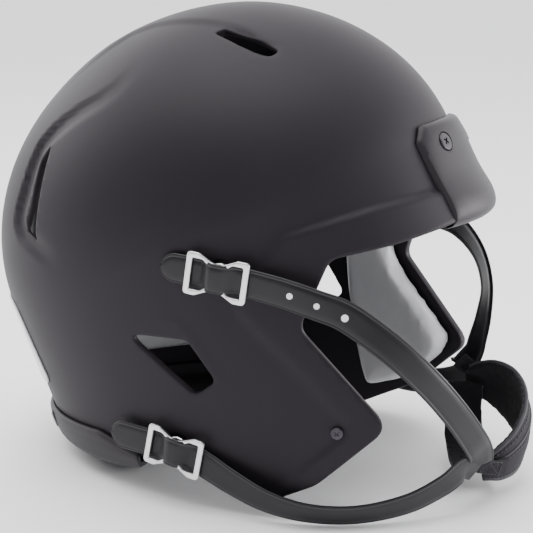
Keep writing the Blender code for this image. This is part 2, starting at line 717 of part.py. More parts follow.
def hang_on_axis():
    """What swings about the upper snaps is parented to an empty on their common axis."""
    axis = bpy.data.objects.new("chinstrap_axis", None)
    bpy.context.collection.objects.link(axis)
    axis.location = to_part((0, *SNAP_PLACES["upper"]))
    bpy.context.view_layer.update()
    swinging = ["chin_cup", "chin_cup_liner"]
    for label in ("right", "left"):
        swinging += [piece + label for piece in ("strap_tab_", "upper_strap_", "upper_buckle_",
                                                 "upper_socket_")]
    for name in swinging:
        piece = bpy.data.objects[name]
        piece.parent = axis
        piece.matrix_parent_inverse = axis.matrix_world.inverted()


clear_scene()
materials = make_materials()
make_shell(materials)
make_front_bumper(materials)
make_rear_bumper(materials)
make_label(materials)
make_pads(materials)
for rivet_side, rivet_label in ((-1, "right"), (1, "left")):
    rivet_place = side_point(rivet_side, *JAW_RIVET_PLACE)
    turned("jaw_rivet_" + rivet_label, [(1.9, -4.6), (1.9, 0.35), (3.4, 0.35), (3.2, 1.1), (1.6, 1.7)],
           rivet_place, shell_normal(rivet_place), materials["dark_metal"])
make_snaps(materials)
make_straps(materials)
make_cup(materials)
hang_on_axis()
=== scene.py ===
"""American football helmet, finished as the real one is: a satin-painted shell with its moulded
lines, rubber bumpers, padded liner, snapped straps with slide buckles, and a soft chin cup."""

from math import cos, hypot, pi, radians, sin, sqrt

import bmesh
import bpy
import numpy as np
from mathutils import Matrix, Vector


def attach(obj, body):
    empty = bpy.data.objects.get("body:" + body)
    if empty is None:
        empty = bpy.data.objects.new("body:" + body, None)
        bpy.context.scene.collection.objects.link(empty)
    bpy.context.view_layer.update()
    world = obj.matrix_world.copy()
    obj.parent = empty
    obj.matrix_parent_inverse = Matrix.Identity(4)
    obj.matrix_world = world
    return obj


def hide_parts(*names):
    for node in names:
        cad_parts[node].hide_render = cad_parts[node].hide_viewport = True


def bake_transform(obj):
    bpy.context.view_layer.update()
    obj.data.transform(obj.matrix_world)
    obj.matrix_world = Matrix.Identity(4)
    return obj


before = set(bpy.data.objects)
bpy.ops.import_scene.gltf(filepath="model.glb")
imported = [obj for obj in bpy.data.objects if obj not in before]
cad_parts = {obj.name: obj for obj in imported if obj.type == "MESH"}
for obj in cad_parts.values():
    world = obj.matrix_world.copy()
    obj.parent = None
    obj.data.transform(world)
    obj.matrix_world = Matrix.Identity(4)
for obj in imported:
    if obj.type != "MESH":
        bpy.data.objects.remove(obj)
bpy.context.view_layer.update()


# ---- Shell ----
# One injection-moulded polycarbonate shell, 4 mm thick, painted satin charcoal inside and out.
# Raised bands are moulded along the brow, the jaw flaps and the crown, with a channel at each
# rear vent. The cut edges are rounded over, and a flat seat is milled under each snap.

MM = 0.001
DOME_CENTRE = Vector((0.0, 22.1, 141.0))
SET_DOWN = radians(2.5)
LEAN = radians(-22.85)
HALF_WIDTH = 112.06
HALF_LENGTH = 145.2
CROWN_HEIGHT = 122.7
SIDE_FLARE = 0.00095
END_FLARE = 0.0005
WALL = 4.0
WALL_BOTTOM = -150.0
SEAT_RADIUS = 8.5
SEAT_DEPTH = 1.5
SNAP_PLACES = {"upper": (-43.0, -7.5), "lower": (-9.0, -107.5)}
SIDES = {"right": -1, "left": 1}


def to_part(point):
    x, y, z = point
    return (Vector((x, y * cos(SET_DOWN) + z * sin(SET_DOWN),
                    z * cos(SET_DOWN) - y * sin(SET_DOWN)))
            + DOME_CENTRE) * MM


def from_part(point):
    x, y, z = Vector(point) / MM - DOME_CENTRE
    return Vector((x, y * cos(SET_DOWN) - z * sin(SET_DOWN), y * sin(SET_DOWN) + z * cos(SET_DOWN)))


def lean_in(point):
    x, y, z = point
    return x, y * cos(LEAN) + z * sin(LEAN), -y * sin(LEAN) + z * cos(LEAN)


def lean_out(x, u, w):
    return Vector((x, u * cos(LEAN) - w * sin(LEAN), u * sin(LEAN) + w * cos(LEAN)))


def shell_value(point):
    x, u, w = lean_in(point)
    if w >= 0:
        return (x / HALF_WIDTH) ** 2 + (u / HALF_LENGTH) ** 2 + (w / CROWN_HEIGHT) ** 2 - 1
    wide, long = HALF_WIDTH * (1 + SIDE_FLARE * w), HALF_LENGTH * (1 - END_FLARE * w)
    return (x / wide) ** 2 + (u / long) ** 2 - 1


def shell_normal(point):
    x, u, w = lean_in(point)
    if w >= 0:
        return lean_out(x / HALF_WIDTH ** 2, u / HALF_LENGTH ** 2,
                        w / CROWN_HEIGHT ** 2).normalized()
    wide, long = HALF_WIDTH * (1 + SIDE_FLARE * w), HALF_LENGTH * (1 - END_FLARE * w)
    rise = u * u * HALF_LENGTH * END_FLARE / long ** 3 - x * x * HALF_WIDTH * SIDE_FLARE / wide ** 3
    return lean_out(x / wide ** 2, u / long ** 2, rise).normalized()


def reach(start, direction):
    """Where a line from inside the shell meets its outer surface."""
    start, direction = Vector(start), Vector(direction).normalized()
    near, far = 0.0, 400.0
    for _ in range(36):
        middle = (near + far) / 2
        if shell_value(start + direction * middle) < 0:
            near = middle
        else:
            far = middle
    return start + direction * near


def ring_point(turn, level, inward=0.0):
    if level >= 0:
        rise = level * pi / 2
        point = lean_out(HALF_WIDTH * cos(rise) * sin(turn), HALF_LENGTH * cos(rise) * cos(turn),
                         CROWN_HEIGHT * sin(rise))
    else:
        point = lean_out(HALF_WIDTH * (1 + SIDE_FLARE * level) * sin(turn),
                         HALF_LENGTH * (1 - END_FLARE * level) * cos(turn), level)
    return point - shell_normal(point) * inward


def side_point(side, y, z, inward=0.0):
    point = reach((0, y, z), (side, 0, 0))
    return point - shell_normal(point) * inward


def start_alone():
    if bpy.context.object and bpy.context.object.mode != "OBJECT":
        bpy.ops.object.mode_set(mode="OBJECT")
    bpy.ops.object.select_all(action="DESELECT")


def pick(*pieces):
    start_alone()
    for piece in pieces:
        piece.select_set(True)
    bpy.context.view_layer.objects.active = pieces[0]


def apply_steps(piece):
    pick(piece)
    for step in list(piece.modifiers):
        bpy.ops.object.modifier_apply(modifier=step.name)


def smooth_shade(piece, angle=35):
    pick(piece)
    bpy.ops.object.shade_smooth_by_angle(angle=radians(angle))


def rounded(corners, closed=True, steps=8):
    outline, count = [], len(corners)
    for index, (a, b, radius) in enumerate(corners):
        here = Vector((a, b))
        if radius <= 0 or (not closed and index in (0, count - 1)):
            outline.append((a, b))
            continue
        before = Vector(corners[index - 1][:2]) - here
        after = Vector(corners[(index + 1) % count][:2]) - here
        half = before.angle(after) / 2
        run = min(radius * cos(half) / sin(half), 0.48 * before.length, 0.48 * after.length)
        start, finish = here + before.normalized() * run, here + after.normalized() * run
        for step in range(steps + 1):
            t = step / steps
            point = (1 - t) ** 2 * start + 2 * t * (1 - t) * here + t ** 2 * finish
            outline.append((point.x, point.y))
    return outline


def face_outwards():
    bpy.ops.object.mode_set(mode="EDIT")
    bpy.ops.mesh.select_all(action="SELECT")
    bpy.ops.mesh.normals_make_consistent(inside=False)
    bpy.ops.object.mode_set(mode="OBJECT")


def circle(radius, count):
    return [(radius * cos(2 * pi * i / count), radius * sin(2 * pi * i / count))
            for i in range(count)]


def block(outline, place, low, high):
    """A closed block: place(a, b, level) puts the outline's points, at low and then at high."""
    start_alone()
    bpy.ops.mesh.primitive_circle_add(vertices=len(outline), fill_type="NGON")
    made = bpy.context.object
    bpy.ops.object.mode_set(mode="EDIT")
    bpy.ops.mesh.extrude_region_move()
    bpy.ops.object.mode_set(mode="OBJECT")
    for vertex in made.data.vertices:
        a, b = outline[vertex.index % len(outline)]
        vertex.co = place(a, b, low if vertex.index < len(outline) else high)
    face_outwards()
    return made


def cut_away(piece, cutters):
    pick(*cutters)
    if len(cutters) > 1:
        bpy.ops.object.join()
    cutter = bpy.context.object
    step = piece.modifiers.new("cut", "BOOLEAN")
    step.solver = "EXACT"
    step.operation = "DIFFERENCE"
    step.object = cutter
    apply_steps(piece)
    bpy.data.objects.remove(cutter, do_unlink=True)


EDGE_OUTLINE = [
    (-143.7, 10.0, 0), (-125.0, 4.9, 40), (-95.5, -0.2, 9), (-80.8, -36.5, 10), (-124.0, -90.0, 9),
    (-87.0, -121.5, 30), (-48.5, -138.5, 5), (-45.0, -130.0, 2), (-10.0, -120.8, 6),
    (14.0, -117.0, 12), (40.0, -120.0, 20), (140.0, -122.0, 0)]
EAR_HOLE = [(17.5, -42.0, 5), (-22.0, -43.0, 7), (-37.5, -67.0, 6), (-23.0, -76.5, 6)]
REAR_VENT = [(67.5, 57.0, 1.5), (75.5, 46.0, 6), (79.5, 22.0, 12), (86.5, 6.5, 2.5),
             (75.0, 1.5, 2), (73.0, 20.0, 12)]
TOP_VENT = [(-50.5, -18.5, 2.5), (-45.5, -24.0, 4), (-50.0, -48.0, 8), (-53.5, -60.0, 3),
            (-59.5, -55.0, 4), (-57.5, -36.0, 8)]

start_alone()
bpy.ops.mesh.primitive_uv_sphere_add(segments=288, ring_count=160, radius=1.0)
shell = bpy.context.object
shell.name = "shell_moulding"
for vertex in shell.data.vertices:
    sx, sy, sz = vertex.co
    if sz >= 0:
        vertex.co = to_part(lean_out(HALF_WIDTH * sx, HALF_LENGTH * sy, CROWN_HEIGHT * sz))
    else:
        around = max(hypot(sx, sy), 1e-6)
        down = WALL_BOTTOM * np.arcsin(min(1.0, -sz)) / (pi / 2)
        spread = 0.0 if around < 1e-4 else 1 / around
        vertex.co = to_part(lean_out(HALF_WIDTH * (1 + SIDE_FLARE * down) * sx * spread,
                                     HALF_LENGTH * (1 - END_FLARE * down) * sy * spread, down))

edge = [(-260.0, 45.0)] + rounded(EDGE_OUTLINE, closed=False)
edge += [(260.0, -122.0), (260.0, -400.0), (-260.0, -400.0)]
across_x = lambda a, b, level: to_part((level, a, b))
cutters = [block(edge, across_x, -160, 160), block(rounded(EAR_HOLE), across_x, -161, 161)]
seats = []
for side in SIDES.values():
    cutters.append(block(rounded(REAR_VENT), across_x, *sorted((side * 45.0, side * 162.0))))
    cutters.append(block([(-side * x, y) for x, y in rounded(TOP_VENT)],
                         lambda a, b, level: to_part((a, b, level)), 60.0, 160.0))
    for y, z in SNAP_PLACES.values():
        seat = side_point(side, y, z) - Vector((side * SEAT_DEPTH, 0, 0))
        seats.append(seat)
        cutters.append(block(circle(SEAT_RADIUS, 48),
                             lambda a, b, level, c=seat: to_part((c.x + level, c.y + a, c.z + b)),
                             *sorted((0.0, side * 9.0))))
cut_away(shell, cutters)


def on_seat(point):
    for seat in seats:
        if (point.x * seat.x > 0 and hypot(point.y - seat.y, point.z - seat.z) < SEAT_RADIUS + 0.15
                and abs(point.x) > abs(seat.x) - 0.05):
            return True
    return False


# Only the outside skin is kept from the cut block; the wall and rims are built on it below. A
# face counts as inside when its middle is this far within the shell's surface, and thin slivers
# the cut leaves beside a rim are merged when closer than RIM_MERGE (mm).
INSIDE_SKIN = -0.0025
RIM_MERGE = 0.3
skin = bmesh.new()
skin.from_mesh(shell.data)
for vertex in skin.verts:
    vertex.co = from_part(vertex.co)
inside = [face for face in skin.faces if shell_value(face.calc_center_median()) < INSIDE_SKIN
          and not on_seat(face.calc_center_median())]
bmesh.ops.delete(skin, geom=inside, context="FACES")
rim = [v for v in skin.verts if v.is_boundary]
near_rim = set(rim) | {edge.other_vert(v) for v in rim for edge in v.link_edges}
bmesh.ops.remove_doubles(skin, verts=list(near_rim), dist=RIM_MERGE)
bmesh.ops.dissolve_degenerate(skin, edges=skin.edges, dist=0.01)
bmesh.ops.triangulate(skin, faces=[f for f in skin.faces if len(f.verts) > 4])
skin.verts.index_update()

outer = np.array([v.co[:] for v in skin.verts])
base = [Vector(p) if not on_seat(Vector(p)) else side_point(1 if p[0] > 0 else -1, p[1], p[2])
        for p in outer]
normals = np.array([shell_normal(p)[:] for p in base])
base = np.array([p[:] for p in base])


def ahead_at(path, i, on=1):
    """The direction of a path at its point i, from the point before to the one on from it."""
    return (path[min(i + on, len(path) - 1)] - path[max(i - 1, 0)]).normalized()


def ramp(value, low, high):
    t = np.clip((value - low) / (high - low), 0, 1)
    return t * t * (3 - 2 * t)


def beside(points, line):
    """Distance of each point from a moulded line, above zero on its left as seen from outside,
    and the strength the line has there. The line's points are (x, y, z, strength)."""
    spots = [reach((0, 0, 0), p[:3]) for p in line]
    strengths = [p[3] for p in line]
    count = len(spots)
    left = []
    for i in range(count):
        left.append(np.array(ahead_at(spots, i).cross(shell_normal(spots[i]))[:]))
    best = np.full(len(points), 1e9)
    signed, strength = np.zeros(len(points)), np.zeros(len(points))
    for i in range(count - 1):
        a, b = np.array(spots[i][:]), np.array(spots[i + 1][:])
        t = np.clip((points - a) @ (b - a) / ((b - a) @ (b - a)), 0, 1)
        away = points - a - np.outer(t, b - a)
        far = np.linalg.norm(away, axis=1)
        toward = np.outer(1 - t, left[i]) + np.outer(t, left[i + 1])
        closer = far < best
        best[closer] = far[closer]
        signed[closer] = (np.sign((away * toward).sum(1)) * far)[closer]
        strength[closer] = (strengths[i] * (1 - t) + strengths[i + 1] * t)[closer]
    return signed, strength


EDGE_BAND = [(-96.5, -70.5, -122.6, 0.6), (-95.9, -79.1, -114, 1), (-92.5, -98.6, -98, 1),
             (-91.1, -103.3, -92, 1), (-90.9, -103.8, -87.6, 1), (-92.9, -96, -78.9, 1),
             (-95.4, -86.2, -66.4, 1), (-99.4, -70.4, -49.2, 1), (-102.9, -55.6, -33.7, 1),
             (-103.9, -51.2, -27.8, 1), (-104.2, -50.5, -22.4, 1), (-100.4, -63.8, -1.9, 1),
             (-98.4, -68.2, 5.8, 1), (-96, -73, 12.3, 1), (-91.7, -81.9, 14.7, 1.2),
             (-83.7, -95.4, 18.4, 1.4), (-70.3, -112.6, 23.1, 1.6), (-57.6, -124.9, 25.4, 1.5),
             (-32.6, -141.1, 27.2, 1.2), (0, -146.5, 28, 1)]
CROWN_BAND = [(-52, -72, 96, 0), (-47, -45, 108, 0.35), (-43, -22, 115, 0.8),
              (-40.1, -7.7, 117.8, 1), (-35.5, 8.7, 117.8, 1), (-29.9, 26.4, 115.8, 1),
              (-28.5, 42.2, 110.9, 1), (-34.8, 53, 104, 0.9), (-42, 66, 92, 0.4), (-48, 80, 76, 0)]
REAR_STEP = [(-58, 18, 104, 0), (-67, 25, 95, 0.05), (-73.2, 33.1, 86.8, 0.2),
             (-74.3, 39.5, 83, 0.35), (-73.5, 58.7, 73, 0.65), (-71.9, 71.7, 64.8, 0.9),
             (-71.4, 82.7, 54.5, 1), (-75.2, 87.9, 41.8, 1), (-78.7, 91.7, 27.9, 1),
             (-79, 96.1, 16.5, 1), (-80.7, 96.3, 8.5, 1), (-85.5, 90.9, 1.5, 0.9),
             (-95.2, 74.9, -4.8, 0.5), (-101, 58, -10, 0)]
VENT_RAMP = [(-52.5, -20, 112, 0), (-56.6, -32.7, 107.8, 1), (-60.5, -44.6, 102.7, 1),
             (-61, -51.5, 100.6, 0.8), (-58, -60, 99, 0)]
EAR_LINE = [(-110, 0, -33, 0), (-110, -16.5, -34.4, 0.7), (-108, -23.6, -43.5, 1),
            (-107, -31, -54.9, 1), (-104, -37.4, -65.3, 1), (-103, -36.6, -68.7, 1),
            (-103, -29.2, -74.4, 1), (-102, -14.8, -81.6, 0.6), (-101, 0, -84, 0)]
BAND_HEIGHT, CROWN_HEIGHT_STEP, CHANNEL_DEPTH, VENT_RAMP_DEPTH = 1.5, 1.4, 2.7, 2.2

# the relief is drawn on the right side and mirrored to the left
half = base.copy()
half[:, 0] = -np.abs(half[:, 0])
far, strength = beside(half, EDGE_BAND)
raised = BAND_HEIGHT * strength * ramp(far, -1.9, 2.3)
far, strength = beside(half, CROWN_BAND)
raised += CROWN_HEIGHT_STEP * strength * ramp(far, -2.5, 3.5)
far, strength = beside(half, REAR_STEP)
raised -= CHANNEL_DEPTH * strength * ramp(-far, -0.7, 1.6) * (1 - ramp(-far, 6.0, 14.0))
far, strength = beside(half, VENT_RAMP)
raised -= VENT_RAMP_DEPTH * strength * ramp(-far, -0.3, 3.5) * (1 - ramp(-far, 9.0, 14.0))
far, strength = beside(half, EAR_LINE)
raised += 0.7 * strength * np.exp(-(far / 2.2) ** 2)
outside = outer + normals * raised[:, None]
inner = base - normals * WALL

# Rounded rim: each edge vertex is carried round from the outside face to the inside one
RIM = [(0.55, 0.06), (0.85, 0.22), (0.9, 0.5), (0.85, 0.78), (0.55, 0.94)]  # mm out, share down
rim_edges = [(e.link_loops[0].vert.index, e.link_loops[0].link_loop_next.vert.index)
             for e in skin.edges if e.is_boundary]
outward = {}
for a, b in rim_edges:
    along = base[b] - base[a]
    away = np.cross(along / max(np.linalg.norm(along), 1e-9), normals[a] + normals[b])
    for v in (a, b):
        outward[v] = outward.get(v, 0) + away
count = len(outer)
points = np.vstack([outside, inner]).tolist()
faces = [[v.index for v in f.verts] for f in skin.faces]
faces += [[v.index + count for v in reversed(f.verts)] for f in skin.faces]
rings = {}
for v, away in outward.items():
    away = away / max(np.linalg.norm(away), 1e-9)
    rings[v] = [v]
    for out, share in RIM:
        rings[v].append(len(points))
        points.append((outside[v] + (inner[v] - outside[v]) * share + away * out).tolist())
    rings[v].append(v + count)
for a, b in rim_edges:
    for step in range(len(RIM) + 1):
        faces.append([rings[b][step], rings[a][step], rings[a][step + 1], rings[b][step + 1]])
skin.free()
shell.data.clear_geometry()
shell.data.from_pydata([to_part(p) for p in points], [], faces)
shell.data.validate()
smooth_shade(shell, 42)


class Value:
    """A number in a material that ordinary sums work on."""

    def __init__(self, finish, socket):
        self.finish, self.socket = finish, socket

    def sum(self, operation, first, second):
        return self.finish.node("ShaderNodeMath", {"operation": operation}, {0: first, 1: second})

    def __add__(self, other):
        return self.sum("ADD", self, other)

    def __sub__(self, other):
        return self.sum("SUBTRACT", self, other)

    def __rsub__(self, other):
        return self.sum("SUBTRACT", other, self)

    def __mul__(self, other):
        return self.sum("MULTIPLY", self, other)

    __radd__, __rmul__ = __add__, __mul__


class Finish:
    """One material: fixed settings on its shader, and patterns made with node()."""

    def __init__(self, name, colour, roughness, metallic=0.0, **fixed):
        self.material = bpy.data.materials.new(name)
        self.material.use_nodes = True
        self.tree = self.material.node_tree
        self.shader = self.tree.nodes["Principled BSDF"]
        self.set("Base Color", (*colour, 1.0))
        self.set("Roughness", roughness)
        self.set("Metallic", metallic)
        for socket, value in fixed.items():
            self.set(socket.replace("_", " "), value)
        self.place = self.node("ShaderNodeTexCoord", out="Object")

    def put(self, socket, value):
        if isinstance(value, Value):
            self.tree.links.new(value.socket, socket)
        else:
            socket.default_value = value

    def set(self, socket, value):
        self.put(self.shader.inputs[socket], value)

    def node(self, kind, settings=None, sockets=None, out=0):
        made = self.tree.nodes.new(kind)
        for key, value in (settings or {}).items():
            setattr(made, key, value)
        for key, value in (sockets or {}).items():
            self.put(made.inputs[key], value)
        return Value(self, made.outputs[out])

    def noise(self, scale, detail=3.0, rough=0.5, at=None, stretch=None):
        at = at or self.place
        if stretch:
            at = self.node("ShaderNodeVectorMath", {"operation": "MULTIPLY"}, {0: at, 1: stretch})
        return self.node("ShaderNodeTexNoise", None,
                         {"Vector": at, "Scale": scale, "Detail": detail, "Roughness": rough})

    def step(self, value, low, high):
        return self.node("ShaderNodeMapRange", {"interpolation_type": "SMOOTHSTEP", "clamp": True},
                         {"Value": value, "From Min": low, "From Max": high})

    def mix(self, share, first, second):
        first, second = [(*c, 1.0) if isinstance(c, tuple) else c for c in (first, second)]
        return self.node("ShaderNodeMix", {"data_type": "RGBA"}, {0: share, 6: first, 7: second},
                         out=2)

    def bump(self, height, depth, strength=1.0):
        self.set("Normal", self.node("ShaderNodeBump", None,
                                     {"Height": height, "Distance": depth, "Strength": strength}))


def dress(piece, finish):
    piece.data.materials.clear()
    piece.data.materials.append(finish.material)


shell_paint = Finish("satin_paint", (0.008, 0.0074, 0.0088), 0.5, Specular_IOR_Level=0.27,
                     Specular_Tint=(1.0, 0.92, 1.0, 1.0))
clouds = shell_paint.noise(14.0, 3.0)
grain = shell_paint.noise(2600.0, 2.0)
dust = shell_paint.step(shell_paint.noise(900.0, 2.0), 0.74, 0.8)
tone = shell_paint.mix(clouds, (0.0072, 0.0058, 0.0082), (0.0112, 0.0092, 0.0127))
shell_paint.set("Base Color", shell_paint.mix(dust * 0.2, tone, (0.04, 0.037, 0.044)))
shell_paint.set("Roughness", 0.47 + clouds * 0.1 + grain * 0.05)
shell_paint.bump(grain + shell_paint.noise(420.0, 2.0) * 0.8, 0.00006, 0.5)
dress(shell, shell_paint)
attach(shell, "helmet")
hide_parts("shell")


# ---- Front bumper ----
# A moulded rubber nose bumper over the middle of the brow. Its lip bulges at the bottom and
# hooks under the shell's edge, and a recessed hole near each end takes a screw.

FRONT_BUMPER_HALF_WIDTH = 36.0
FRONT_SCREW_PLACE = (19.0, 49.6)


def lofted(name, rows, ring=False):
    """A sheet through rows of points, or a closed body where each row is a ring."""
    start_alone()
    if ring:
        rows = [list(row) + [row[0]] for row in rows]
    across = len(rows[0])
    bpy.ops.mesh.primitive_grid_add(x_subdivisions=across - 1, y_subdivisions=len(rows) - 1, size=1)
    made = bpy.context.object
    made.name = made.data.name = name
    for vertex, point in zip(made.data.vertices, [p for row in rows for p in row]):
        vertex.co = to_part(point)
    if ring:
        bpy.ops.object.mode_set(mode="EDIT")
        bpy.ops.mesh.select_all(action="SELECT")
        bpy.ops.mesh.remove_doubles(threshold=1e-6)
        bpy.ops.mesh.fill_holes(sides=0)
        bpy.ops.object.mode_set(mode="OBJECT")
        face_outwards()
    return made


def eased(ring, rounds=2, share=0.22):
    """The ring with its corners cut back, a little more finely each round."""
    for _ in range(rounds):
        ring = [p for a, b in zip(ring, ring[1:] + ring[:1])
                for p in (a.lerp(b, share), a.lerp(b, 1 - share))]
    return ring


def rounded_edges(piece, width, angle=40, segments=3):
    step = piece.modifiers.new("edges", "BEVEL")
    step.width, step.segments = width * MM, segments
    step.limit_method, step.angle_limit = "ANGLE", radians(angle)
    apply_steps(piece)


def thickened(piece, thick, edge, angle):
    """Gives a sheet its thickness, away from its outer face, and rounds its edges."""
    step = piece.modifiers.new("thickness", "SOLIDIFY")
    step.thickness, step.offset = thick * MM, -1
    apply_steps(piece)
    rounded_edges(piece, edge, 60, 2)
    smooth_shade(piece, angle)


def front_bumper_ring(x):
    across = 1 - (x / FRONT_BUMPER_HALF_WIDTH) ** 2
    corner = 1 - max(0.0, abs(x) / FRONT_BUMPER_HALF_WIDTH - 0.82) / 0.18 * 0.12
    foot, top = 11.5, 62.5 * corner - 2.0 * (1 - across)
    swell = [(1.0, 2.5, 6.5), (0.9, 3.5, 7.5), (0.7, 4.0, 6.5), (0.48, 4.5, 5.6), (0.34, 5.0, 6.4),
             (0.24, 5.2, 7.4), (0.15, 5.0, 7.0), (0.07, 4.2, 5.6), (0.0, 3.0, 3.0)]
    ring = []
    for share, thin, thick in swell:
        z = foot + (top - foot) * share
        out = thin + (thick - thin) * max(across, 0.0) ** 0.7
        ring.append(Vector((x, reach((x, 0, z), (0, -1, 0)).y - out, z)))
    brow = 11.0 - 0.05 * max(0.0, abs(x) - 20)
    under, tongue = (reach((x, 0, z), (0, -1, 0)).y for z in (brow, 16.5))
    ring += [Vector((x, under + 1.0, 8.2)), Vector((x, under + 7.5, 6.0)),
             Vector((x, tongue + 7.0, 16.5)), Vector((x, tongue + 5.4, 16.5)),
             Vector((x, under + 5.2, brow - 2.6)), Vector((x, under - 1.2, brow - 1.4))]
    for share in (0.1, 0.3, 0.5, 0.75, 0.9, 1.0):
        z = foot + (top - foot) * share
        ring.append(Vector((x, reach((x, 0, z), (0, -1, 0)).y - 0.2, z)))
    return eased(ring)


front_bumper = lofted("front_bumper_cover",
                      [front_bumper_ring(FRONT_BUMPER_HALF_WIDTH * i / 24) for i in range(-24, 25)],
                      ring=True)


def turned_hole(place, axis, radius, low, high):
    """A straight round cutter along axis through place."""
    axis = Vector(axis).normalized()
    side = axis.orthogonal().normalized()
    other = axis.cross(side)
    return block(circle(radius, 40),
                 lambda a, b, level: to_part(place + axis * level + side * a + other * b),
                 low, high)


def front_screw_place(side):
    x, z = FRONT_SCREW_PLACE
    return reach((side * x, 0, z), (0, -1, 0))


front_screws = [(place, shell_normal(place))
                for place in map(front_screw_place, SIDES.values())]
cut_away(front_bumper, [turned_hole(place, axis, 5.6, 4.2, 30) for place, axis in front_screws])
rounded_edges(front_bumper, 0.7, 50)
smooth_shade(front_bumper, 50)

bumper_rubber = Finish("bumper_rubber", (0.01, 0.009, 0.011), 0.5, Specular_IOR_Level=0.35,
                       Specular_Tint=(1.0, 0.93, 1.0, 1.0))
grain = bumper_rubber.noise(1500.0, 3.0)
bumper_rubber.set("Base Color", bumper_rubber.mix(bumper_rubber.noise(40.0), (0.009, 0.008, 0.0098),
                                                  (0.015, 0.0138, 0.0165)))
bumper_rubber.set("Roughness", 0.42 + grain * 0.18)
bumper_rubber.bump(grain, 0.00008, 0.6)
dress(front_bumper, bumper_rubber)
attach(front_bumper, "helmet")
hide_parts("front_bumper")


# ---- Rear bumper ----
# A moulded rubber skirt that wraps the back of the neck opening and runs forward to a point
# under each lower strap. Its flat foot is what the helmet rests on.

REAR_BUMPER_END = 91.0
REAR_SCREW_ANGLE = 36.0
TABLE = -141.0


def rear_bumper_ring(turn_degrees):
    turn = radians(turn_degrees)
    heading = Vector((sin(turn), cos(turn), 0))
    share = max(0.0, min(1.0, (REAR_BUMPER_END - abs(turn_degrees)) / 26.0))
    depth = sin(share * pi / 2) ** 0.8
    lip = 4.0 * (1 - min(1.0, share * 1.5))
    seam = -106.0 - 3.0 * cos(turn) - 2.2 * lip
    edge = -122.2

    def on_wall(offset, z):
        return reach((0, 20, z), heading) + heading * offset

    def below(offset, z):
        point = reach((0, 20, edge), heading) + heading * (offset * (0.3 + 0.7 * depth))
        foot = (TABLE + point.y * sin(SET_DOWN)) / cos(SET_DOWN) if z is None else z
        return Vector((point.x, point.y, edge - 2.5 + (foot - edge + 2.5) * depth))

    return eased([on_wall(0.1, seam), on_wall(2.4, seam - 0.6),
                  on_wall(3.8, seam - 3.0 + lip * 0.3), on_wall(4.4, -117.0 - 0.5 * lip),
                  below(2.6, -125.5), below(-2.5, -130.0),
                  below(-9.0, -133.5), below(-17.0, -136.2), below(-25.0, None), below(-34.0, None),
                  below(-37.0, -133.0), below(-26.0, -124.5), on_wall(-9.0, -120.5),
                  on_wall(-8.6, -113.0 - lip), on_wall(-5.2, -113.0 - lip),
                  on_wall(-5.0, edge - 0.3), on_wall(0.1, edge - 0.3)], share=0.16)


rear_bumper = lofted("rear_bumper_skirt",
                     [rear_bumper_ring(REAR_BUMPER_END * i / 56) for i in range(-56, 57)],
                     ring=True)


def rear_screw_place(side):
    turn = radians(REAR_SCREW_ANGLE)
    return reach((0, 20, -114.5), (side * sin(turn), cos(turn), 0))


rear_screws = [(place, shell_normal(place)) for place in map(rear_screw_place, SIDES.values())]
cut_away(rear_bumper, [turned_hole(place, axis, 5.4, 3.0, 20) for place, axis in rear_screws])
rounded_edges(rear_bumper, 0.6, 50)
smooth_shade(rear_bumper, 50)
dress(rear_bumper, bumper_rubber)
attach(rear_bumper, "helmet")
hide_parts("rear_bumper")


# ---- Screws and rivets ----
# Black-oxide steel truss-head screws with a cross recess hold the bumpers, and a smaller
# dished rivet of the same finish holds each jaw pad.

dark_steel = Finish("black_oxide_steel", (0.022, 0.021, 0.024), 0.42, 1.0)
dark_steel.set("Roughness", 0.3 + dark_steel.noise(900.0) * 0.25)
dark_steel.set("Base Color",
               dark_steel.mix(dark_steel.noise(300.0), (0.035, 0.033, 0.038), (0.085, 0.08, 0.09)))

start_alone()
bpy.ops.mesh.primitive_cylinder_add(vertices=48, radius=5.1, depth=1.4, location=(0, 0, 0.7))
screw_head = bpy.context.object
bpy.ops.object.transform_apply(location=True, rotation=False, scale=False)
step = screw_head.modifiers.new("dome", "BEVEL")
step.width, step.segments, step.limit_method = 0.9, 4, "ANGLE"
recess = []
for size in ((4.4, 1.1), (1.1, 4.4)):
    start_alone()
    bpy.ops.mesh.primitive_cube_add(size=1, location=(0, 0, 1.3))
    bpy.context.object.dimensions = (*size, 1.6)
    bpy.ops.object.transform_apply(location=True, rotation=False, scale=True)
    recess.append(bpy.context.object)
apply_steps(screw_head)
for bar in recess:
    cut_away(screw_head, [bar])


def screw_at(name, place, axis, size, height, node):
    """A copy of the screw head with its own mesh, its underside at height above place."""
    made = bpy.data.objects.new(name, screw_head.data.copy())
    bpy.context.collection.objects.link(made)
    axis = Vector(axis).normalized()
    side = axis.orthogonal().normalized()
    other = axis.cross(side)
    for vertex in made.data.vertices:
        x, y, z = vertex.co * size
        vertex.co = to_part(place + side * x + other * y + axis * (z + height))
    smooth_shade(made, 35)
    dress(made, dark_steel)
    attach(made, "helmet")
    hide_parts(node)


RIVET_PLACE = (-99.2, -92.5)
for label, side in SIDES.items():
    spot = front_screw_place(side)
    screw_at("front_screw_head_" + label, spot, shell_normal(spot), 1.0, 4.4,
             "front_bumper_screw_" + label)
    spot = rear_screw_place(side)
    screw_at("rear_screw_head_" + label, spot, shell_normal(spot), 0.96, 3.2,
             "rear_bumper_screw_" + label)
    spot = side_point(side, *RIVET_PLACE)
    screw_at("jaw_rivet_head_" + label, spot, shell_normal(spot), 0.66, 1.0, "jaw_rivet_" + label)
bpy.data.objects.remove(screw_head, do_unlink=True)


# ---- Rear panel ----
# A plain white vinyl panel, thin and flexible, stuck on the back of the shell above the
# bumper. Its corners are round and it follows the curve of the wall.

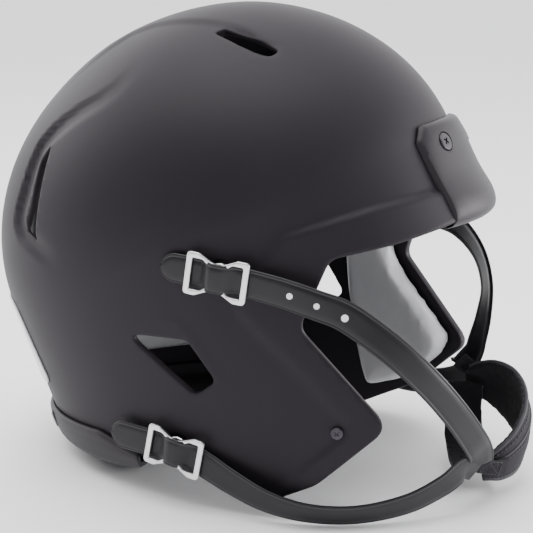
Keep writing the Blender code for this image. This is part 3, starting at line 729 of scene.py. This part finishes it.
PANEL_HALF_WIDTH, PANEL_LOW, PANEL_HIGH, PANEL_CORNER = 66.0, -91.0, -41.0, 7.0
PANEL_RISE, PANEL_THICK = 1.2, 1.1
rows = []
# rows lie closer together towards the round corners
climb = 0.5 - 0.5 * np.cos(np.linspace(0.12, pi - 0.12, 34))
for z in PANEL_LOW + (PANEL_HIGH - PANEL_LOW) * climb:
    to_end = min(z - PANEL_LOW, PANEL_HIGH - z, PANEL_CORNER)
    short = PANEL_CORNER - sqrt(PANEL_CORNER ** 2 - (PANEL_CORNER - to_end) ** 2)
    row = []
    for x in np.linspace(1, -1, 73) * (PANEL_HALF_WIDTH - short):
        point = reach((x, 0, z), (0, 1, 0))
        row.append(point + shell_normal(point) * PANEL_RISE)
    rows.append(row)
panel = lofted("rear_panel", rows)
thickened(panel, PANEL_THICK, 0.35, 50)
white_vinyl = Finish("white_vinyl", (0.74, 0.74, 0.76), 0.35, Coat_Weight=0.25, Coat_Roughness=0.2)
white_vinyl.set("Base Color",
                white_vinyl.mix(white_vinyl.noise(30.0), (0.7, 0.7, 0.72), (0.79, 0.79, 0.81)))
white_vinyl.set("Roughness", 0.3 + white_vinyl.noise(600.0) * 0.15)
white_vinyl.bump(white_vinyl.noise(700.0), 0.00005, 0.4)
dress(panel, white_vinyl)
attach(panel, "helmet")
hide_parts("rear_label")


# ---- Liner pads ----
# Foam pads in welded vinyl covers, puffed by their foam and tacked inside the shell: grey ones
# at the jaw, sides and neck, black ones over the dome and brow. A weld seam runs round each.

PAD_GAP = 1.3          # mm between the shell's wall and a pad's back


def pad_block(name, place, rows, columns, thick, bevel):
    """A closed block between the wall's inner face and the pad's own face, as a ring per row."""
    back, rings = WALL + PAD_GAP, []
    for r in range(rows + 1):
        t, s = r / rows, bevel + (1 - 2 * bevel) * r / rows
        ring = [place(t, c / columns, back) for c in range(columns + 1)]
        ring += [place(s, bevel + (1 - 2 * bevel) * c / columns, back + thick)
                 for c in range(columns, -1, -1)]
        rings.append(ring)
    return lofted(name, rings, ring=True)


def ring_pad(name, turns, levels, thick, rows=9, columns=26, dip=0.0):
    def place(r, c, inward):
        turn = radians(turns[0] + (turns[1] - turns[0]) * c)
        low = levels[0] - dip * (1 - cos(turn))
        return ring_point(turn, low + (levels[1] - low) * r, inward)

    return pad_block(name, place, rows, columns, thick, 0.07)


def smooth_path(points, per_span=4):
    points = [Vector(p) for p in points]
    path = []
    for i in range(len(points) - 1):
        p0, p1 = points[max(i - 1, 0)], points[i]
        p2, p3 = points[i + 1], points[min(i + 2, len(points) - 1)]
        for step in range(per_span):
            t = step / per_span
            path.append(0.5 * (2 * p1 + (p2 - p0) * t + (2 * p0 - 5 * p1 + 4 * p2 - p3) * t * t
                               + (3 * p1 - p0 - 3 * p2 + p3) * t ** 3))
    path.append(points[-1])
    return path


JAW_REAR = [(0, -43.5, -17), (0, -43.5, -52), (0, -46, -84), (0, -50, -109), (0, -57, -127)]
JAW_FACE = [(0, -73, -15), (0, -83, -43), (0, -106, -71), (0, -115, -92), (0, -86, -117)]


def jaw_pad(name, side):
    rear, face = smooth_path(JAW_REAR, 3), smooth_path(JAW_FACE, 3)

    def place(r, c, inward):
        at = r * (len(rear) - 1)
        low = min(int(at), len(rear) - 2)
        at_rear, at_face = (edge[low].lerp(edge[low + 1], at - low) for edge in (rear, face))
        spot = at_rear.lerp(at_face, c)
        return side_point(side, spot.y, spot.z, inward)

    return pad_block(name, place, 18, 14, 14.5, 0.075)


# how far down the dome the crown pad's back and its face reach, as a share of the way to the rim
CROWN_SPREAD = (0.048 * 6, 0.048 * 5.4)
start_alone()
bpy.ops.mesh.primitive_uv_sphere_add(segments=48, ring_count=16, radius=1.0)
crown = bpy.context.object
crown.name = "crown_cushion"
for vertex in crown.data.vertices:
    x, y, z = vertex.co
    out = min(1.0, hypot(x, y))
    turn = np.arctan2(x, y)
    spread = out ** 0.6 * CROWN_SPREAD[0 if z > 0 else 1]
    vertex.co = to_part(ring_point(turn, 1 - spread, WALL + PAD_GAP + 12.0 * (0.5 - 0.5 * z)))

pads = {"crown_pad": (crown, "dark_pad")}
pads["front_pad"] = (ring_pad("front_cushion", (150, 210), (0.0, 0.45), 12.0), "dark_pad")
pads["brow_pad"] = (ring_pad("brow_cushion", (152, 208), (-34.0, -3.0), 10.0, rows=6), "dark_pad")
pads["back_pad"] = (ring_pad("back_cushion", (-42, 42), (0.02, 0.55), 12.0), "dark_pad")
pads["neck_pad"] = (
    ring_pad("neck_cushion", (-60, 60), (-50.0, -3.0), 11.0, columns=40, dip=62.0), "grey_pad")
for label, side in SIDES.items():
    turns = (side * 68, side * 128)
    pads["side_pad_" + label] = (
        ring_pad("side_cushion_" + label, turns, (-26.0, -0.5), 11.0, rows=6), "grey_pad")
    pads["temple_pad_" + label] = (
        ring_pad("temple_cushion_" + label, turns, (0.03, 0.5), 11.0), "dark_pad")
    pads["jaw_pad_" + label] = (jaw_pad("jaw_cushion_" + label, side), "grey_pad")


def made_fine(piece):
    step = piece.modifiers.new("fine", "SUBSURF")
    step.levels = step.render_levels = 1
    apply_steps(piece)
    piece.data.shade_smooth()


SWELL_PRESSURE, SWELL_FRAMES = 4.0, 20


def puff(pieces, voxel, most, evened=3):
    """Remeshes the pads and lets cloth swell them, no point going further than most (mm). The
    wrinkles are then evened out a few times, as foam under a cover does."""
    before = {}
    for piece in pieces:
        pick(piece)
        step = piece.modifiers.new("even", "REMESH")
        step.mode, step.voxel_size = "VOXEL", voxel * MM
        apply_steps(piece)
        before[piece.name] = [v.co.copy() for v in piece.data.vertices]
        cloth = piece.modifiers.new("swell", "CLOTH")
        cloth.settings.use_pressure = True
        cloth.settings.uniform_pressure_force = SWELL_PRESSURE
        cloth.settings.effector_weights.gravity = 0.0
        cloth.settings.quality = 4
    scene = bpy.context.scene
    for number in range(1, SWELL_FRAMES + 1):
        scene.frame_set(number)
    for piece in pieces:
        swollen = piece.evaluated_get(bpy.context.evaluated_depsgraph_get())
        after = [v.co.copy() for v in swollen.data.vertices]
        piece.modifiers.clear()
        for vertex, old, new in zip(piece.data.vertices, before[piece.name], after):
            move = new - old
            if move.length > most * MM:
                move *= most * MM / move.length
            vertex.co = old + move
    scene.frame_set(1)
    for piece in pieces:
        mesh = bmesh.new()
        mesh.from_mesh(piece.data)
        for _ in range(evened):
            bmesh.ops.smooth_vert(mesh, verts=mesh.verts, factor=0.5,
                                  use_axis_x=True, use_axis_y=True, use_axis_z=True)
        mesh.to_mesh(piece.data)
        mesh.free()


puff([piece for piece, kind in pads.values() if kind == "dark_pad"], 4.5, 3.0)
puff([piece for node, (piece, kind) in pads.items() if kind == "grey_pad" and "jaw" not in node],
     3.4, 2.0)
puff([piece for node, (piece, kind) in pads.items() if "jaw" in node], 2.0, 1.4, 5)

grey_vinyl = Finish("grey_pad_vinyl", (0.42, 0.42, 0.44), 0.42, Coat_Weight=0.15,
                    Coat_Roughness=0.3)
black_vinyl = Finish("black_pad_vinyl", (0.02, 0.019, 0.022), 0.5)
SEAM_START, SEAM_STOP = (6.2, 6.8), (7.2, 7.8)          # mm below the shell's outer face
for cover, low, high in ((grey_vinyl, (0.45, 0.45, 0.47), (0.58, 0.58, 0.6)),
                         (black_vinyl, (0.014, 0.013, 0.016), (0.028, 0.026, 0.031))):
    pebble = cover.node("ShaderNodeTexVoronoi", None, {"Vector": cover.place, "Scale": 900.0})
    depth = cover.node("ShaderNodeAttribute", {"attribute_name": "depth"}, out=2)
    seam = cover.step(depth, *SEAM_START) * (1 - cover.step(depth, *SEAM_STOP))
    cover.set("Base Color", cover.mix(cover.noise(60.0) * (1 - seam * 0.5), low, high))
    cover.set("Roughness", 0.36 + cover.noise(300.0) * 0.2)
    cover.bump(pebble * 0.35 + cover.noise(70.0) * 2.0 - seam * 3.0, 0.00025, 0.5)

LEAST_DEPTH = WALL + 0.6          # a swollen pad stops here, clear of the wall
for node, (pad, slot_name) in pads.items():
    depths = []
    for vertex in pad.data.vertices:
        point = from_part(vertex.co)
        # depth below the shell's face, from the value and how fast it changes along the normal
        normal = shell_normal(point)
        slope = shell_value(point + normal * 0.5) - shell_value(point - normal * 0.5)
        depth = -shell_value(point) / max(slope, 1e-6)
        if depth < LEAST_DEPTH:
            point -= normal * (LEAST_DEPTH - depth)
            depth = LEAST_DEPTH
        vertex.co = to_part(point)
        depths.append(depth)
    layer = pad.data.attributes.new("depth", "FLOAT", "POINT")
    layer.data.foreach_set("value", depths)
    made_fine(pad)
    dress(pad, grey_vinyl if slot_name == "grey_pad" else black_vinyl)
    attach(pad, "helmet")
    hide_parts(node)


# ---- Snaps ----
# Nickel-plated press studs through the shell, with a black nut inside, and the plated ring
# sockets that the straps carry. All keep their turned shapes and get their finish here.

plated = Finish("satin_nickel", (0.72, 0.72, 0.73), 0.3, 1.0)
brushed = plated.noise(220.0, 3.0, stretch=(1.0, 9.0, 1.0))
plated.set("Base Color", plated.mix(brushed, (0.62, 0.62, 0.63), (0.82, 0.82, 0.83)))
plated.set("Roughness", 0.24 + brushed * 0.2)
plated.bump(plated.noise(900.0, 2.0), 0.00003, 0.4)
for name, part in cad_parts.items():
    if "_stud_" in name or "_socket_" in name or "_nut_" in name:
        for material_slot in part.material_slots:
            material_slot.material = (dark_steel if "_nut_" in name else plated).material


# ---- Straps ----
# Four straps of coated webbing, 16 mm wide and 2 mm thick, with moulded edges and a round
# tail. Each weaves under its buckle's end bars and over the middle one, above the snap.

STRAP_HALF, STRAP_THICK = 8.0, 2.0
UPPER_ROUTE = {
    "right": [(-113.2, -12.5, -2.0), (-111.0, -28.0, -4.6), (-109.4, -43.0, -7.5),
              (-107.8, -58.0, -10.4), (-106.0, -76.0, -14.8), (-103.0, -94.0, -21.0),
              (-98.5, -109.0, -28.0), (-90.0, -131.0, -47.0), (-79.0, -146.0, -66.5),
              (-66.0, -156.0, -86.0), (-51.5, -161.5, -104.0), (-42.0, -162.5, -114.0)],
    "left": [(113.2, -12.5, -2.0), (111.0, -28.0, -4.6), (109.4, -43.0, -7.5),
             (107.8, -58.0, -9.4), (106.5, -74.0, -10.6), (103.5, -92.0, -12.0),
             (96.0, -113.0, -17.0), (83.0, -130.0, -30.0), (71.0, -138.5, -47.0),
             (59.0, -139.5, -64.0), (50.0, -138.0, -77.0), (46.0, -136.5, -84.0)]}
UPPER_FACING = {
    "right": [(-1, 0.1, 0)] * 4 + [(-1, -0.05, 0.02), (-1, -0.25, 0.05), (-1, -0.45, 0.1),
                                   (-0.9, -0.6, 0.2), (-0.85, -0.7, 0.2), (-0.8, -0.75, 0.1),
                                   (-0.8, -0.7, 0), (-0.8, -0.7, 0)],
    "left": [(1, 0.1, 0)] * 4 + [(1, -0.05, 0.02), (1, -0.3, 0.05), (0.95, -0.5, 0.1),
                                 (0.8, -0.7, 0.15), (0.75, -0.75, 0.1), (0.8, -0.6, 0),
                                 (0.85, -0.5, 0), (0.85, -0.5, 0)]}
LOWER_ROUTE = {
    "right": [(-98.6, 31.0, -102.0), (-101.2, 12.0, -104.0), (-101.9, -10.0, -107.5),
              (-102.3, -25.0, -113.0), (-103.0, -42.0, -121.5), (-103.0, -62.0, -130.0),
              (-99.0, -84.0, -135.6), (-89.0, -108.0, -137.5), (-74.0, -131.0, -134.5),
              (-58.0, -147.0, -128.0), (-46.0, -155.0, -122.0)],
    "left": [(98.6, 31.0, -102.0), (101.2, 12.0, -104.0), (101.9, -10.0, -107.5),
             (102.8, -25.0, -110.6), (105.0, -42.0, -116.0), (104.0, -62.0, -121.0),
             (98.5, -84.0, -122.0), (87.5, -105.0, -117.0), (72.0, -121.0, -108.0),
             (59.0, -129.0, -100.5), (52.0, -132.0, -96.5)]}
LOWER_FACING = {
    "right": [(-1, 0, 0)] * 3 + [(-1, 0, 0), (-1, -0.1, -0.2), (-0.95, -0.2, -0.4),
                                 (-0.85, -0.4, -0.6), (-0.8, -0.5, -0.6), (-0.8, -0.6, -0.5),
                                 (-0.8, -0.7, -0.4), (-0.8, -0.7, -0.3)],
    "left": [(1, 0, 0)] * 3 + [(1, 0, 0), (1, -0.1, -0.1), (1, -0.3, -0.2), (0.9, -0.5, -0.3),
                               (0.8, -0.7, -0.3), (0.8, -0.7, -0.3), (0.8, -0.6, -0.2),
                               (0.8, -0.5, -0.1)]}
PER_SPAN = 12          # stations between two points of a route
# how far in from the edge each line of the strap's section lies, and how far it is let down
SECTION = [(0.0, 0.75), (0.25, 0.3), (0.7, 0.02), (1.2, 0.0), (1.5, 0.16), (1.8, 0.16), (2.1, 0.0)]
CROWN_OF_SECTION = (STRAP_HALF * 0.6, -0.12)
# extra stations close to the round tail
TAIL_STATIONS = [0.0, 0.25, 0.7, 1.4, 2.4, 3.6, 5.0, 6.5, 8.0]
# how far the strap rises over its buckle's middle bar, and how far from it the rise starts and ends
BUCKLE_LIFT, LIFT_RUN = 4.7, (2.2, 10.5)


def strap(name, route, facing):
    path = smooth_path(route, PER_SPAN)
    looks = smooth_path(facing, PER_SPAN)
    run = [0.0]
    for a, b in zip(path, path[1:]):
        run.append(run[-1] + (b - a).length)
    buckle_at = run[2 * PER_SPAN]
    stations = sorted(set(run[2:] + TAIL_STATIONS))
    rows, marks = [], []
    for s in stations:
        i = max(k for k in range(len(run)) if run[k] <= s + 1e-9)
        i = min(i, len(path) - 2)
        t = min(1.0, (s - run[i]) / (run[i + 1] - run[i]))
        point, out = path[i].lerp(path[i + 1], t), looks[i].lerp(looks[i + 1], t)
        ahead = ahead_at(path, i, on=2)
        out = (out - ahead * out.dot(ahead)).normalized()
        across = ahead.cross(out)
        half = STRAP_HALF
        if s < STRAP_HALF:
            half = max(0.9, sqrt(STRAP_HALF ** 2 - (STRAP_HALF - s) ** 2))
        lift = BUCKLE_LIFT * float(1 - ramp(abs(s - buckle_at), *LIFT_RUN))
        row, mark = [], []
        for sign in (-1, 1):
            line = SECTION + [CROWN_OF_SECTION]
            for inset, low in line if sign < 0 else reversed(line):
                at = sign * max(half - inset, half * (1 - inset / STRAP_HALF) * 0.3)
                row.append(point + across * at + out * (STRAP_THICK - low + lift))
                mark.append((s * MM, inset * MM))
        rows.append(row)
        marks.append(mark)
    made = lofted(name, rows)
    spread = [m for mark in marks for m in mark]
    chart = made.data.uv_layers[0] if made.data.uv_layers else made.data.uv_layers.new(name="strap")
    for corner in made.data.loops:
        chart.data[corner.index].uv = spread[corner.vertex_index]
    thickened(made, STRAP_THICK - 0.1, 0.3, 40)
    return made


webbing = Finish("coated_webbing", (0.012, 0.011, 0.013), 0.35, Specular_IOR_Level=0.32)
chart = webbing.node("ShaderNodeTexCoord", out="UV")
inset = webbing.node("ShaderNodeSeparateXYZ", None, {0: chart}, out=1)
streaks = webbing.noise(1.0, 2.0, at=chart, stretch=(60.0, 2600.0, 1.0))
# a lighter band just inside each edge of the strap is painted highlight of its rounded edge
painted_edge_highlight = webbing.step(inset, 0.0011, 0.0014) * (1 - webbing.step(inset, 0.0018, 0.0022))
print_dots = None
DOT_RADIUS = (0.0018, 0.0021)          # where a dot's edge starts and ends, in metres
DOT_PLACES = [(-104.4, -81.0, -16.3), (-101.9, -94.5, -21.4), (-98.7, -108.2, -27.7)]
for x, y, z in DOT_PLACES:
    spot = to_part((x - STRAP_THICK, y, z))
    near = webbing.node("ShaderNodeVectorMath", {"operation": "DISTANCE"},
                        {0: webbing.place, 1: spot}, out=1)
    dot = 1 - webbing.step(near, *DOT_RADIUS)
    print_dots = dot if print_dots is None else print_dots + dot
coat = webbing.mix(streaks, (0.006, 0.0055, 0.0066), (0.014, 0.0128, 0.0155))
# the coat is lightened along each edge here as painted highlight
coat = webbing.mix(painted_edge_highlight * 0.35, coat, (0.07, 0.067, 0.075))
webbing.set("Base Color", webbing.mix(print_dots, coat, (0.85, 0.85, 0.86)))
webbing.set("Roughness", 0.28 + streaks * 0.18 + print_dots * 0.15)
webbing.bump(streaks + webbing.noise(1500.0, 2.0) * 0.5, 0.00008, 0.5)

# each strap runs on into the sewn joint at the cup's corner: one last point and its facing
UPPER_END = {"right": ((-35.5, -161.0, -122.5), (-0.8, -0.6, 0)),
             "left": ((42.5, -131.5, -92.0), (0.9, -0.4, 0))}
LOWER_END = {"right": ((-35.0, -158.5, -126.0), (-0.8, -0.7, -0.3)),
             "left": ((42.0, -129.5, -93.0), (0.9, -0.4, 0))}
# where the lower strap comes up to the cup; it is converted below, but nothing uses it
LOWER_CUP = {"right": (-60, -146, -118), "left": (58, -129, -101)}
for label, side in SIDES.items():
    upper, lower = (strap(where + "_webbing_" + label, routes[label] + [end[label][0]],
                          facings[label] + [end[label][1]])
                    for where, routes, facings, end in (
                        ("upper", UPPER_ROUTE, UPPER_FACING, UPPER_END),
                        ("lower", LOWER_ROUTE, LOWER_FACING, LOWER_END)))
    for piece, node in ((upper, "upper_strap_"), (lower, "lower_strap_")):
        dress(piece, webbing)
        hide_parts(node + label)
    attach(upper, "chinstrap")
    to_part((side * 102, -28, -114))
    to_part(LOWER_CUP[label])
    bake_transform(lower)


# ---- Buckles ----
# Stamped steel slides in satin nickel, waisted between their rails, with three bars that the
# strap is woven through. One sits over each snap.

BUCKLE_LENGTH, BUCKLE_WIDTH, BUCKLE_THICK, BAR = 34.0, 23.0, 2.2, 3.2
half, wide, waist = BUCKLE_LENGTH / 2, BUCKLE_WIDTH / 2, 5.4
BUCKLE_CROWN = 0.5          # how far its middle is bowed outwards
# half widths of a slot by the middle bar and by the end bar, and the length of the slant between
SLOT_NEAR, SLOT_FAR, SLOT_SLANT = 3.6, 8.4, 6.5
BUCKLE_OUTLINE = rounded([
    (-half, -wide, 2.5), (-half * 0.62, -wide, 3), (0, -wide + waist, 12), (half * 0.62, -wide, 3),
    (half, -wide, 2.5), (half, wide, 2.5), (half * 0.62, wide, 3), (0, wide - waist, 12),
    (-half * 0.62, wide, 3), (-half, wide, 2.5)], steps=6)


def buckle(name, place, along, out, node, body):
    along = Vector(along).normalized()
    out = (Vector(out) - along * Vector(out).dot(along)).normalized()
    across = out.cross(along)

    def put(a, b, level):
        return Vector((a, b, level)) * MM

    made = block(BUCKLE_OUTLINE, put, 0.0, BUCKLE_THICK)
    made.name = name
    slots = []
    for end in (-1, 1):
        near, far = end * BAR / 2, end * (half - BAR)
        slant = near + end * SLOT_SLANT
        opening = rounded([(near, -SLOT_NEAR, 1), (slant, -SLOT_FAR, 3), (far, -SLOT_FAR, 1),
                           (far, SLOT_FAR, 1), (slant, SLOT_FAR, 3), (near, SLOT_NEAR, 1)], steps=4)
        slots.append(block(opening, put, -3.0, 5.0))
    cut_away(made, slots)
    rounded_edges(made, 0.65, 40, 4)
    for vertex in made.data.vertices:
        a, b, level = vertex.co / MM
        level += BUCKLE_CROWN * (1 - (a / half) ** 2)
        vertex.co = to_part(place + along * a + across * b + out * level)
    smooth_shade(made, 40)
    dress(made, plated)
    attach(made, body)
    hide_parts(node)


for label, side in SIDES.items():
    for where, routes, body in (("upper", UPPER_ROUTE, "chinstrap"),
                                ("lower", LOWER_ROUTE, "helmet")):
        route = [Vector(p) for p in routes[label]]
        along = route[3] - route[1]
        out = Vector((side, 0, 0))
        out -= along * out.dot(along) / along.length_squared
        buckle(where + "_slide_" + label, route[2] + out.normalized() * (STRAP_THICK + 0.6),
               along, out, where + "_buckle_" + label, body)


# ---- Chin cup ----
# Two soft bands of fleece-faced foam, one round the front of the chin and one under it, bound
# with piping and sewn. The front one is suede outside, and a tab at each corner takes the straps.

CUP_CENTRE = Vector((4.0, -149.0, -103.5))
CUP_ACROSS = Vector((0.844, 0.347, 0.409)).normalized()
CUP_UP = Vector((-0.333, -0.256, 0.905)).normalized()
CUP_HALF_WIDTH, CUP_DEPTH = 38.0, 31.0
BAND_END, LINE_END = 0.012, 0.07          # turn left free at each end of a band, and of its sewing


def cup_point(across, front, up):
    return CUP_CENTRE + CUP_ACROSS * across + CUP_ACROSS.cross(CUP_UP) * front + CUP_UP * up


def front_band(turn, share, inward=0.0):
    """A point of the front band: turn 0 to 180 from end to end, share 0 to 1 from low to high."""
    low, high = -21.0 - 9.0 * sin(turn), -5.0 + 21.0 * sin(turn) ** 0.8
    bulge = 4.0 * sin(pi * share)
    wide = CUP_HALF_WIDTH - inward + bulge * 0.6
    deep = CUP_DEPTH - inward + bulge - 6.0 * (share - 0.2)
    return cup_point(-wide * cos(turn), deep * sin(turn), low + (high - low) * share)


def under_band(turn, share, inward=0.0):
    wide = CUP_HALF_WIDTH - 5.0 - inward
    fall = 26.0 - inward + 2.0 * sin(pi * share)
    return cup_point(-wide * cos(turn), -12.0 + 24.0 * share, -9.0 - fall * sin(turn))


def band_piece(name, surface, thick):
    rings = []
    for i in range(61):
        turn = min(max(pi * i / 60, BAND_END), pi - BAND_END)
        ring = [surface(turn, s, 0.2) for s in np.linspace(0, 1, 13)]
        ring += [surface(turn, s, thick) for s in np.linspace(1, 0, 13)]
        rings.append(eased(ring, 1, 0.25))
    return lofted(name, rings, ring=True)


chin_front = band_piece("chin_cup_front", front_band, 3.4)
chin_under = band_piece("chin_cup_under", under_band, 3.0)
puff([chin_front, chin_under], 2.0, 1.8, 2)


def tube(name, path, radius, sides=8):
    """A round piping along a path, its ends closed."""
    rings, side = [], None
    for i, point in enumerate(path):
        ahead = ahead_at(path, i)
        side = ahead.orthogonal() if side is None else side - ahead * side.dot(ahead)
        side.normalize()
        other = ahead.cross(side)
        rings.append([point + side * a + other * b for a, b in circle(radius, sides)])
    made = lofted(name, rings, ring=True)
    made.data.shade_smooth()
    return made


def stitches(name, path, lift, pitch=2.6, length=1.7, thick=0.32):
    """A row of short sewn threads along a path, each a small rounded bar lying along it."""
    start_alone()
    bpy.ops.mesh.primitive_uv_sphere_add(segments=6, ring_count=5, radius=1.0)
    thread = bpy.context.object
    shape = [v.co.copy() for v in thread.data.vertices]
    sides = [tuple(f.vertices) for f in thread.data.polygons]
    bpy.data.objects.remove(thread, do_unlink=True)
    points, faces = [], []
    run, goal = 0.0, pitch / 2
    for a, b, out in zip(path, path[1:], lift):
        span = (b - a).length
        while span > 0 and run + span >= goal:
            middle = a.lerp(b, (goal - run) / span) + out * (thick * 0.5)
            ahead = (b - a).normalized()
            across = ahead.cross(out).normalized()
            faces += [tuple(k + len(points) for k in face) for face in sides]
            points += [to_part(middle + ahead * (p.z * length / 2) + across * (p.x * thick)
                               + out * (p.y * thick)) for p in shape]
            goal += pitch
        run += span
    mesh = bpy.data.meshes.new(name)
    mesh.from_pydata(points, [], faces)
    made = bpy.data.objects.new(name, mesh)
    bpy.context.collection.objects.link(made)
    pick(made)
    face_outwards()
    mesh.shade_smooth()
    return made


def along_band(band, surface, share, rise, steps=90):
    """A line lying on a band at a share of its height, and the outward direction at each point."""
    path, lift = [], []
    for i in range(steps + 1):
        turn = LINE_END + (pi - 2 * LINE_END) * i / steps
        here = surface(turn, share)
        out = (surface(turn, share, -1.0) - here).normalized()
        spot = band.closest_point_on_mesh(to_part(here + out * 1.5))[1]
        path.append(from_part(spot) + out * rise)
        lift.append(out)
    return smooth_path(path[::5], 5), lift


fleece = Finish("dark_fleece", (0.006, 0.0055, 0.007), 0.95, Sheen_Weight=0.08, Sheen_Roughness=0.5,
                Specular_IOR_Level=0.2)
fuzz = fleece.noise(1300.0, 5.0, 0.75)
tufts = fleece.noise(240.0, 4.0, 0.6)
fleece.set("Base Color",
           fleece.mix(fuzz * 0.6 + tufts * 0.4, (0.003, 0.0026, 0.0034), (0.02, 0.018, 0.022)))
fleece.set("Roughness", 0.86 + fuzz * 0.12)
fleece.bump(fuzz + tufts * 1.4, 0.0007, 0.8)

suede = Finish("grey_suede", (0.02, 0.018, 0.022), 0.9, Specular_IOR_Level=0.25)
nap = suede.noise(900.0, 4.0, 0.7)
patches = suede.noise(90.0, 3.0)
suede.set("Base Color",
          suede.mix(nap * 0.5 + patches * 0.5, (0.008, 0.007, 0.0088), (0.042, 0.038, 0.046)))
suede.set("Roughness", 0.8 + nap * 0.18)
suede.bump(nap + patches, 0.0005, 0.7)

binding = Finish("piping_fabric", (0.02, 0.018, 0.022), 0.7)
ribs = binding.noise(1800.0, 2.0)
binding.set("Base Color", binding.mix(ribs, (0.015, 0.014, 0.017), (0.045, 0.042, 0.05)))
binding.bump(ribs, 0.0001, 0.6)

thread_cotton = Finish("sewing_thread", (0.09, 0.085, 0.095), 0.7)
thread_cotton.set("Base Color", thread_cotton.mix(thread_cotton.noise(900.0), (0.03, 0.028, 0.032),
                                                  (0.075, 0.07, 0.08)))

for piece, node in ((chin_front, "chin_cup"), (chin_under, "chin_cup_liner")):
    made_fine(piece)
    dress(piece, fleece)
    if piece is chin_front:
        # the outer face is suede, and the face towards the chin is fleece
        piece.data.materials.append(suede.material)
        heart = to_part(cup_point(0, 4, -8))
        for face in piece.data.polygons:
            face.material_index = int(face.normal.dot(face.center - heart) > 0)
    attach(piece, "chinstrap")
    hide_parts(node)

LINES = [(chin_front, front_band, 0.99, 0.0, 1.3), (chin_front, front_band, 0.7, 0.1, 0.8),
         (chin_front, front_band, 0.01, 0.0, 1.2), (chin_under, under_band, 0.01, 0.0, 1.1),
         (chin_under, under_band, 0.99, 0.0, 1.1)]
for number, (band, surface, share, rise, radius) in enumerate(LINES):
    path, lift = along_band(band, surface, share, rise)
    cord = tube("cup_piping_%d" % number, path, radius)
    dress(cord, binding)
    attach(cord, "chinstrap")
SEWN = [(chin_front, front_band, 0.86), (chin_front, front_band, 0.62),
        (chin_front, front_band, 0.12),
        (chin_under, under_band, 0.12), (chin_under, under_band, 0.88)]
for number, (band, surface, share) in enumerate(SEWN):
    path, lift = along_band(band, surface, share, 0.1)
    row = stitches("cup_stitches_%d" % number, path, lift)
    dress(row, thread_cotton)
    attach(row, "chinstrap")


# ---- Strap tabs ----
# A short tab of the cup's grey suede on each corner, which both straps of that side are sewn to
# with a boxed cross of thread.

TAB_ROUTE = [(44.8, -3.0, -4.0), (42.6, 2.0, -7.0), (41.4, 7.0, -8.5), (38.6, 14.0, -9.0)]
TAB_HALF, TAB_THICK, TAB_RISE = 5.4, 1.6, 0.9

for label, side in SIDES.items():
    line = smooth_path([cup_point(side * a, b, c) for a, b, c in TAB_ROUTE], 6)
    facing = CUP_ACROSS * side
    rows = []
    for i, point in enumerate(line):
        ahead = ahead_at(line, i)
        out = (facing - ahead * facing.dot(ahead)).normalized()
        across = ahead.cross(out) * TAB_HALF
        rows.append([point + across * s + out * TAB_RISE for s in (-1, -0.9, -0.5, 0, 0.5, 0.9, 1)])
    tab = lofted("strap_tab_webbing_" + label, rows)
    thickened(tab, TAB_THICK, 0.4, 40)
    dress(tab, suede)
    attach(tab, "chinstrap")
    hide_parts("strap_tab_" + label)
    low, high = rows[3], rows[-5]
    corners = [low[1], high[1], high[5], low[5], low[1], high[5], high[1], low[5]]
    row = stitches("tab_stitches_" + label, [c + facing * 0.1 for c in corners],
                   [facing] * len(corners), 2.2, 1.5, 0.28)
    dress(row, thread_cotton)
    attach(row, "chinstrap")


# ---- Floor, light and camera ----
# A plain pale sweep on the table plane, three large soft boxes above, behind and in front, and a
# pale room that is brighter at one end.

start_alone()
bpy.ops.mesh.primitive_plane_add(size=60.0, location=(0, 0, -0.0004))
floor = bpy.context.object
floor.name = "floor"
pale = Finish("pale_floor", (0.93, 0.93, 0.94), 0.75)
pale.set("Roughness", 0.7 + pale.noise(3.0) * 0.1)
dress(floor, pale)

room = bpy.data.worlds.new("pale_room")
bpy.context.scene.world = room
room.use_nodes = True
nodes, links = room.node_tree.nodes, room.node_tree.links
look = nodes.new("ShaderNodeTexCoord")
facing = nodes.new("ShaderNodeVectorMath")
facing.operation = "DOT_PRODUCT"
facing.inputs[1].default_value = (0.87, 0.36, 0.34)      # towards the bright end of the room
light_share = nodes.new("ShaderNodeMapRange")
light_share.interpolation_type = "SMOOTHSTEP"
for socket, value in (("From Min", -0.45), ("From Max", 0.65), ("To Min", 0.22), ("To Max", 2.7)):
    light_share.inputs[socket].default_value = value
links.new(look.outputs["Generated"], facing.inputs[0])
links.new(facing.outputs["Value"], light_share.inputs["Value"])
links.new(light_share.outputs[0], nodes["Background"].inputs["Strength"])
nodes["Background"].inputs["Color"].default_value = (0.97, 0.97, 0.98, 1)


def soft_box(name, place, target, size, power):
    light = bpy.data.lights.new(name, "AREA")
    light.shape = "RECTANGLE"
    light.size, light.size_y = size
    light.energy = power
    box = bpy.data.objects.new(name, light)
    bpy.context.collection.objects.link(box)
    box.location = place
    box.rotation_euler = (Vector(target) - Vector(place)).to_track_quat("-Z", "Y").to_euler()


MIDDLE = (0, 0, 0.13)
soft_box("key_light", (-0.45, 0.1, 1.7), MIDDLE, (1.5, 1.2), 26)
soft_box("rim_light", (0.2, 1.5, 0.9), MIDDLE, (1.4, 0.9), 8)
soft_box("face_light", (0.55, -1.5, 0.3), (0, 0.05, 0.09), (0.9, 0.5), 26)

camera = bpy.data.objects.new("camera", bpy.data.cameras.new("camera"))
bpy.context.collection.objects.link(camera)
EYE = (-0.73518, -0.30553, 0.30579)
RIGHT, UP = (0.38140, -0.92442, 0.00320), (0.21482, 0.09199, 0.97233)
BACK = (-0.89911, -0.37015, 0.23366)
camera.matrix_world = (Matrix.Translation(EYE)
                       @ Matrix((RIGHT, UP, BACK)).transposed().to_4x4())
camera.data.lens = 92.94
camera.data.sensor_width = 36.0
bpy.context.scene.camera = camera
